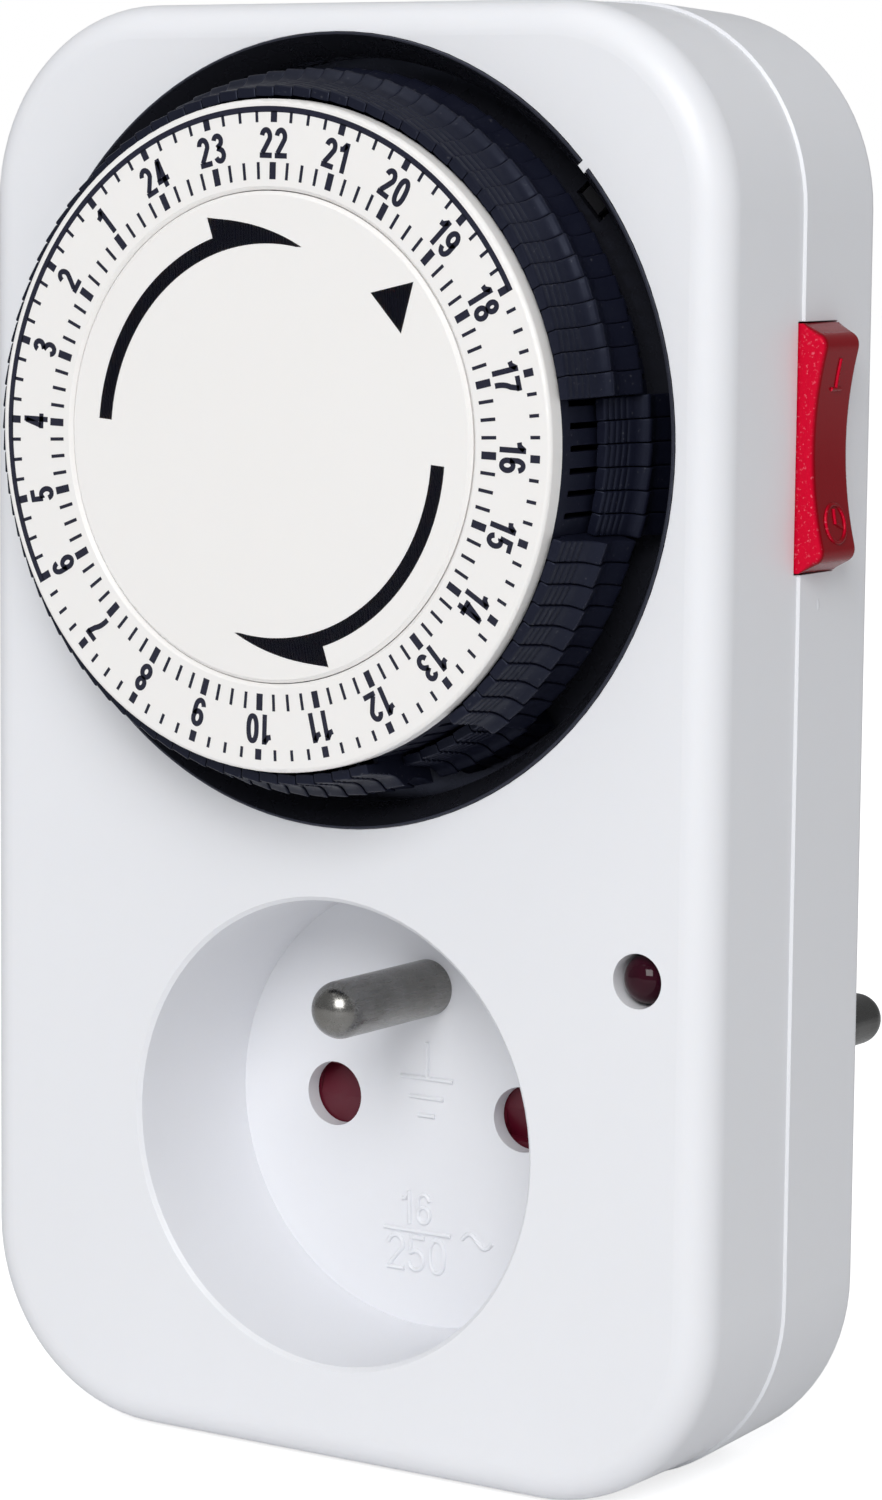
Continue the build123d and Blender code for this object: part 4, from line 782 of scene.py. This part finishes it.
@dataclass(frozen=True)
class TappetRun:
    """A run of neighbouring tappets, with ridges, lip and skirt, which replaces its CAD block."""

    node: str
    start_hour: float
    count: int
    pushed_in: bool
    inner_radius: float = 26.75
    travel: float = 5.0
    phase: float = 333.0
    pitch: float = HOUR_TURN / 4
    seam: float = 0.16
    face_turn: float = 5.0
    edge: float = 0.06

    def profile(self) -> np.ndarray:
        """The closed outline (radius, depth) of a raised tappet, with its corners cut once.

        Each corner p between neighbours a and b becomes two points, p + (a - p) / 5 and
        p + (b - p) / 5.
        """
        front = np.array([
            (27.45, -7.94), (27.55, -7.84), (27.62, -7.42), (27.47, -7.30), (27.62, -7.18), (27.72, -6.72),
            (27.57, -6.60), (27.72, -6.48), (27.82, -6.02), (27.67, -5.90), (27.82, -5.78), (27.92, -5.32),
            (27.77, -5.20), (27.92, -5.08), (28.12, -4.45), (28.45, -4.00), (28.90, -3.66), (28.97, -3.45),
            (28.86, -3.18), (28.62, -2.50), (28.46, -1.95), (28.54, -1.20), (28.76, -0.42), (29.12, 0.44),
            (29.05, 0.61),
        ])
        before, after = front[:-2], front[2:]
        middle = front[1:-1]
        cut = np.stack([middle + (before - middle) / 5, middle + (after - middle) / 5], axis=1).reshape(-1, 2)
        inner = np.array([(self.inner_radius, front[-1, 1]), (self.inner_radius, front[0, 1])])
        return np.vstack([front[:1], cut, front[-1:], inner])

    def finger(self) -> Skin:
        """One tappet at the top of the dial, raised.

        A point of the outline at radius r lies at z = r / (1 + u * t * s) and x = u * t * z, where u
        runs from -1 to 1 across the tappet, t is the tangent of half its angle and s the sine of the
        turn of its face. At both sides the outline is drawn in along its normals.
        """
        outline = self.profile()
        inward = mitres(outline, True)
        across = np.array([-1.0, -0.955, -0.84, -0.42, 0.0, 0.42, 0.84, 0.955, 1.0])
        drawn_in = self.edge * np.array([1.0, 0.35, 0.0, 0.0, 0.0, 0.0, 0.0, 0.35, 1.0])
        half = math.tan(math.radians((self.pitch - self.seam) / 2))
        turn = math.sin(math.radians(self.face_turn))
        points = np.empty((len(across), len(outline), 3))
        for row, (u, inset) in enumerate(zip(across, drawn_in)):
            section = outline + inward * inset
            radius = section[:, 0].clip(self.inner_radius)
            z = (radius / (1.0 + u * half * turn)).clip(self.inner_radius)
            points[row] = np.stack([u * half * z, section[:, 1], z + DIAL_Z], axis=1)
        return capped(grid(points, close_columns=True), len(outline))

    def tongue(self) -> Skin:
        """The thin blade behind a tappet that slides in the drum's slot."""
        outline = np.array([[-0.83, 24.25], [-0.83, 27.05], [-0.43, 27.05], [-0.43, 24.25]])
        outline[:, 1] += DIAL_Z
        return slab(outline, -6.2, -2.2)

    def build(self, palette: Palette) -> None:
        """Makes the run from one tappet turned about the dial for each quarter hour."""
        tappet = merged([self.finger(), self.tongue()]).moved(depth=self.travel if self.pushed_in else 0.0)
        first = self.phase - HOUR_TURN * self.start_hour - self.pitch / 2
        parts = [tappet.about_dial(first - self.pitch * step) for step in range(self.count)]
        piece = make_piece(self.node + "_run", merged(parts), 40.0)
        finish_piece(piece, palette, FinishName.TAPPET, self.node.replace("tappets", "block"), (self.node,))


TAPPET_RUNS = (
    TappetRun("tappets_0000_off", 0.0, 16, False),
    TappetRun("tappets_0400_off", 4.0, 16, False),
    TappetRun("tappets_0800_off", 8.0, 14, False),
    TappetRun("tappets_1130_on", 11.5, 5, True),
    TappetRun("tappets_1245_off", 12.75, 10, False),
    TappetRun("tappets_1515_on", 15.25, 6, True),
    TappetRun("tappets_1645_off", 16.75, 13, False),
    TappetRun("tappets_2000_off", 20.0, 16, False),
)


# --- rocker -------------------------------------------------------------------------------------

@dataclass(frozen=True)
class Rocker:
    """The red rocker with a rounded cap, and the marks raised on its saddle."""

    middle_z: float = 57.1
    middle_depth: float = 15.25
    half_width: float = 2.95
    saddle_radius: float = 31.78
    saddle_x: float = 68.88
    saddle_reach: float = 7.6
    corner: tuple[float, float] = (38.3, 8.65)
    slope: tuple[float, float] = (37.45, 9.07)
    half_length: float = 9.8
    base_x: float = 35.5
    side_x: float = 36.0
    edge_mm: float = 0.55
    fade_mm: float = 0.9

    def outline(self) -> np.ndarray:
        """The cap's section (x, z from its middle): a slope, a bent corner, the saddle, and back.

        The saddle's x is saddle_x - sqrt(saddle_radius**2 - z**2). From the saddle's last point a to
        the slope's point b a corner runs as (1 - t)**2 * a + 2 * t * (1 - t) * corner + t**2 * b.
        """
        t = np.linspace(0.0, 1.0, 8)[:, None]
        rise = np.linspace(0.0, self.saddle_reach, 14)
        saddle = np.stack([self.saddle_x - np.sqrt(self.saddle_radius ** 2 - rise ** 2), rise], axis=1)
        corner, slope = np.array(self.corner), np.array(self.slope)
        bend = (1 - t) ** 2 * saddle[-1] + 2 * t * (1 - t) * corner + t ** 2 * slope
        foot = np.array([[self.side_x, self.half_length], [self.base_x, self.half_length]])
        upper = np.vstack([saddle, bend[1:], foot])
        return np.vstack([(upper * np.array([1.0, -1.0]))[:0:-1], upper])

    def cap(self) -> Skin:
        """The rocker's outside from its base up, with its long edges rounded.

        Over the angle v from 0 to 90 degrees a row is edge_mm * (1 - cos v) behind the cheek, and drawn
        in by edge_mm * (1 - sin v), which fades out over the last fade_mm down to the housing's side.
        """
        outline = self.outline()
        inward = mitres(outline) * ((outline[:, :1] - self.side_x) / self.fade_mm).clip(0.0, 1.0)
        v = np.linspace(0.0, math.pi / 2, 7)
        behind, drawn_in = self.edge_mm * (1 - np.cos(v)), self.edge_mm * (1 - np.sin(v))
        depths = np.concatenate([-self.half_width + behind, (self.half_width - behind)[::-1]])
        count = len(outline)
        points = np.empty((len(depths), 2 * count, 3))
        for row, (depth, inset) in enumerate(zip(depths, np.concatenate([drawn_in, drawn_in[::-1]]))):
            section = outline + inward * inset
            base = np.stack([np.full(count, self.base_x), section[:, 1]], axis=1)[::-1]
            ring = np.vstack([section, base])
            points[row] = np.stack([ring[:, 0], np.full(2 * count, self.middle_depth + depth),
                                    ring[:, 1] + self.middle_z], axis=1)
        skin = grid(points, close_columns=True)
        last = 2 * count * (len(depths) - 1)
        cheek = [(i, i + 1, 2 * count - 2 - i, 2 * count - 1 - i) for i in range(count - 1)]
        return Skin(skin.points, skin.faces + cheek + [tuple(last + i for i in face) for face in cheek])

    def inside(self) -> Skin:
        """The part of the CAD rocker below the cap: its heel, its boss and the bore."""
        body = bmesh.new()
        body.from_mesh(frame["nodes"]["rocker_button"].data)
        bmesh.ops.remove_doubles(body, verts=body.verts, dist=1e-7)
        bmesh.ops.bisect_plane(body, geom=body.verts[:] + body.edges[:] + body.faces[:], dist=1e-7,
                               plane_co=(self.base_x * MM, 0, 0), plane_no=(1, 0, 0), clear_outer=True)
        bmesh.ops.holes_fill(body, edges=[edge for edge in body.edges if edge.is_boundary], sides=0)
        body.verts.index_update()
        points = np.array([vertex.co[:] for vertex in body.verts]) / MM + np.array([0.0, FACE_SETBACK, 0.0])
        faces = [tuple(vertex.index for vertex in face.verts) for face in body.faces]
        body.free()
        return Skin(points, faces)

    def on_saddle(self, skin: Skin) -> Skin:
        """Bends a flat mark onto the saddle.

        A mark's point (a, d, b) goes to x = saddle_x - sqrt(saddle_radius**2 - b**2) - d, depth
        middle_depth + a and z = middle_z + b.
        """
        a, d, b = skin.points.T
        x = self.saddle_x - np.sqrt(self.saddle_radius ** 2 - b ** 2) - d
        return Skin(np.stack([x, self.middle_depth + a, self.middle_z + b], axis=1), skin.faces)

    def build(self, palette: Palette) -> None:
        """Makes the rocker, and the bar mark at its top and the clock mark at its bottom."""
        body = make_piece("rocker_cap", merged([self.cap(), self.inside()]), 28.0)
        finish_piece(body, palette, FinishName.ROCKER, "rocker", ("rocker_button",))
        pen = Pen(0.36, -0.19, 0.06, 9)
        parts = [
            pen.draw(np.stack([np.zeros(9), np.linspace(4.65, 7.05, 9)], axis=1)),
            pen.draw(np.array([[-0.75, 4.65], [0.0, 4.65], [0.75, 4.65]])),
            pen.draw(arc(0.0, -5.9, 1.5, 1.5, 0, 360, 40)[:-1], True),
            pen.draw(np.array([[0.0, -4.75], [0.0, -5.3], [0.0, -5.95]])),
            pen.draw(np.array([[0.0, -5.85], [0.42, -6.05], [0.85, -6.25]])),
        ]
        marks = make_piece("rocker_marks", self.on_saddle(merged(parts)), 50.0)
        finish_piece(marks, palette, FinishName.ROCKER, "rocker")


# --- moulded marks on the housing ---------------------------------------------------------------

@dataclass(frozen=True)
class MouldedMarks:
    """The earth symbol and the figures raised on the socket's floor, and a dimple on the side."""

    floor: float = 14.6
    height: float = 0.26

    def socket_marks(self) -> Skin:
        """The earth symbol, the figures over and under their line, and the wave sign."""
        pen = Pen(0.40, self.floor - self.height, self.floor + 0.04, 9)
        line = np.array
        wave_x = np.linspace(3.75, 6.75, 25)
        wave = np.stack([wave_x, -10.95 + 0.55 * np.sin((wave_x - 3.75) / 3.0 * 2 * math.pi)], axis=1)
        parts = [
            pen.draw(line([[0.0, 5.5], [0.0, 4.0], [0.0, 2.5]])),
            pen.draw(line([[-2.65, 2.4], [0.0, 2.4], [2.65, 2.4]])),
            pen.draw(line([[-1.7, 0.75], [0.0, 0.75], [1.7, 0.75]])),
            pen.draw(line([[-0.8, -0.8], [0.0, -0.8], [0.85, -0.8]])),
            pen.draw(line([[-4.2, -10.88], [-0.8, -10.88], [2.6, -10.88]])),
            pen.draw(wave),
            Numerals(pen, 2.85, 0.56, 0.07).word("16", -0.95, -8.87),
            Numerals(pen, 3.2, 0.58, 0.08).word("250", -0.9, -12.85),
        ]
        return merged(parts)

    def side_dimple(self) -> Skin:
        """A low dome on the rear cover's side, 1.0 by 0.5 mm.

        At ring radius q from 0 to 1 and angle t, its point is at depth d = 16 + 0.25 * q * cos(t) and
        z = 44.6 + 0.5 * q * sin(t), and 0.05 * (1 - q**2) proud of the leaning side, whose x is
        36 - 0.0384 * (d - 12.8).
        """
        q, t = np.meshgrid(np.linspace(0.04, 1.0, 6), np.linspace(0, 2 * math.pi, 25)[:-1], indexing="ij")
        depth = 16.0 + 0.25 * q * np.cos(t)
        rise = 36.0 - 0.0384 * (depth - 12.8) + 0.05 * (1.0 - q ** 2)
        points = np.stack([rise, depth, 44.6 + 0.5 * q * np.sin(t)], axis=-1)
        under = points[-1:] - np.array([0.04, 0.0, 0.0])
        return capped(grid(np.concatenate([points, under]), close_columns=True), q.shape[1])

    def build(self, palette: Palette) -> None:
        """Makes both pieces in the housing's own plastic."""
        marks = make_piece("socket_marks", self.socket_marks(), 50.0)
        finish_piece(marks, palette, FinishName.HOUSING, "housing")
        dimple = make_piece("side_dimple", self.side_dimple(), 50.0)
        finish_piece(dimple, palette, FinishName.HOUSING, "housing")


# --- the CAD nodes as they are ------------------------------------------------------------------

@dataclass
class Workshop:
    """Gives every CAD node the finish that its material slot names."""

    palette: Palette

    def dress_nodes(self) -> None:
        """Sets the finish of each node from the record's sub-parts; the plug's pins are darker, as painted
        shade.
        """
        slots = {part["node"]: part["material_slot"] for part in frame["record"]["subparts"]}
        # The plug's pins take the darker pin steel as painted shade.
        slots.update(live_pin="pin_steel", neutral_pin="pin_steel")
        for node, piece in frame["nodes"].items():
            finish = FinishName(slots[node])
            self.palette.dress(piece, finish)
            LOG.info("%s keeps its shape and gets %s", node, finish.value)


# --- studio -------------------------------------------------------------------------------------

@dataclass
class Studio:
    """The camera, the pale floor, the white surround and the lights."""

    yaw: float = 33.533
    pitch: float = 7.078
    roll: float = 0.587
    focal_pixels: float = 4594.2
    long_side_pixels: float = 1500.0
    sensor_mm: float = 36.0
    camera_mm: tuple[float, float, float] = (211.58, -359.06, 77.76)
    floor_mm: float = -28.0

    def camera(self) -> None:
        """Places the camera from its yaw, pitch and roll.

        The view direction is (-sin yaw cos pitch, cos yaw cos pitch, -sin pitch); right is that
        crossed with +Z, and both right and up are turned about it by the roll.
        """
        yaw, pitch, roll = (math.radians(v) for v in (self.yaw, self.pitch, self.roll))
        ahead = Vector((-math.sin(yaw) * math.cos(pitch), math.cos(yaw) * math.cos(pitch), -math.sin(pitch)))
        level = ahead.cross(Vector((0, 0, 1))).normalized()
        upright = level.cross(ahead)
        right = math.cos(roll) * level + math.sin(roll) * upright
        up = -math.sin(roll) * level + math.cos(roll) * upright
        data = bpy.data.cameras.new("camera")
        data.sensor_width = self.sensor_mm
        data.lens = self.focal_pixels / self.long_side_pixels * self.sensor_mm
        data.clip_start, data.clip_end = 0.01, 20.0
        camera = bpy.data.objects.new("camera", data)
        matrix = Matrix((right, up, -ahead)).transposed().to_4x4()
        matrix.translation = Vector(self.camera_mm) * MM
        camera.matrix_world = matrix
        bpy.context.scene.collection.objects.link(camera)
        bpy.context.scene.camera = camera

    def softbox(self, name: str, place: tuple[float, float, float], aim: tuple[float, float, float],
                size: tuple[float, float], radiance: float) -> None:
        """A rectangular area light of a given brightness, aimed at a point, all in metres."""
        data = bpy.data.lights.new(name, "AREA")
        data.shape = "RECTANGLE"
        data.size, data.size_y = size
        data.energy = radiance * math.pi * size[0] * size[1]
        lamp = bpy.data.objects.new(name, data)
        lamp.location = place
        lamp.rotation_mode = "QUATERNION"
        lamp.rotation_quaternion = (Vector(aim) - Vector(place)).to_track_quat("-Z", "Y")
        bpy.context.scene.collection.objects.link(lamp)

    def floor(self) -> None:
        """A pale floor that keeps the shadow and is white to the camera elsewhere."""
        reach, level = 3.0, self.floor_mm * MM
        mesh = bpy.data.meshes.new("floor")
        corners = [(-reach, -reach), (reach, -reach), (reach, reach), (-reach, reach)]
        mesh.from_pydata([(x, y, level) for x, y in corners], [], [(0, 1, 2, 3)])
        plane = bpy.data.objects.new("floor", mesh)
        bpy.context.scene.collection.objects.link(plane)
        graph = Graph("floor_paper")
        tone = graph.mix(graph.noise(9.0, 2.0), linear(240, 240, 241), linear(246, 246, 246))
        graph.put(Base_Color=tone, Roughness=0.9)
        self.whiten(graph, graph.shader.outputs[0], 0.72)
        mesh.materials.append(graph.material)

    def whiten(self, graph: Graph, shaded: bpy.types.NodeSocket, strength: float) -> None:
        """Adds a little white to a material for camera and transmission rays only."""
        path = graph.add("LightPath")
        seen = graph.add("Math", {"operation": "MAXIMUM"}, i0=path.outputs["Is Camera Ray"],
                         i1=path.outputs["Is Transmission Ray"])
        level = graph.add("Math", {"operation": "MULTIPLY"}, i0=seen.outputs[0], i1=strength)
        glow = graph.add("Emission", Color=(1, 1, 1, 1), Strength=level.outputs[0])
        both = graph.add("AddShader", i0=shaded, i1=glow.outputs[0])
        graph.tree.links.new(both.outputs[0], graph.output.inputs[0])

    def world(self, fill: float) -> None:
        """A dim even world that the camera sees as white."""
        world = bpy.data.worlds.new("surround")
        world.use_nodes = True
        tree = world.node_tree
        tree.nodes.clear()
        path = tree.nodes.new("ShaderNodeLightPath")
        lit, seen = tree.nodes.new("ShaderNodeBackground"), tree.nodes.new("ShaderNodeBackground")
        lit.inputs[0].default_value, lit.inputs[1].default_value = (0.97, 0.985, 1.0, 1.0), fill
        seen.inputs[0].default_value, seen.inputs[1].default_value = (1, 1, 1, 1), 1.0
        mix = tree.nodes.new("ShaderNodeMixShader")
        output = tree.nodes.new("ShaderNodeOutputWorld")
        tree.links.new(path.outputs["Is Camera Ray"], mix.inputs[0])
        tree.links.new(lit.outputs[0], mix.inputs[1])
        tree.links.new(seen.outputs[0], mix.inputs[2])
        tree.links.new(mix.outputs[0], output.inputs[0])
        bpy.context.scene.world = world

    def build(self) -> None:
        """Sets up the camera, the floor, the world and the softboxes."""
        bpy.context.scene.view_settings.view_transform = "Standard"
        self.camera()
        self.floor()
        self.world(0.30)
        aim = (0.0, -0.05, 0.03)
        self.softbox("key_front_right", (0.57, -1.28, 0.86), aim, (0.90, 0.80), 7.0)
        self.softbox("top", (-0.25, -0.30, 1.30), aim, (0.70, 0.70), 1.6)


def main() -> None:
    """Builds the timer's looks in order."""
    logging.basicConfig(level=logging.INFO, format="%(message)s")
    palette = Palette().build()
    Workshop(palette).dress_nodes()
    DialPrint().build(palette)
    for run in TAPPET_RUNS:
        run.build(palette)
    Rocker().build(palette)
    MouldedMarks().build(palette)
    Studio().build()


if __name__ == "__main__":
    main()
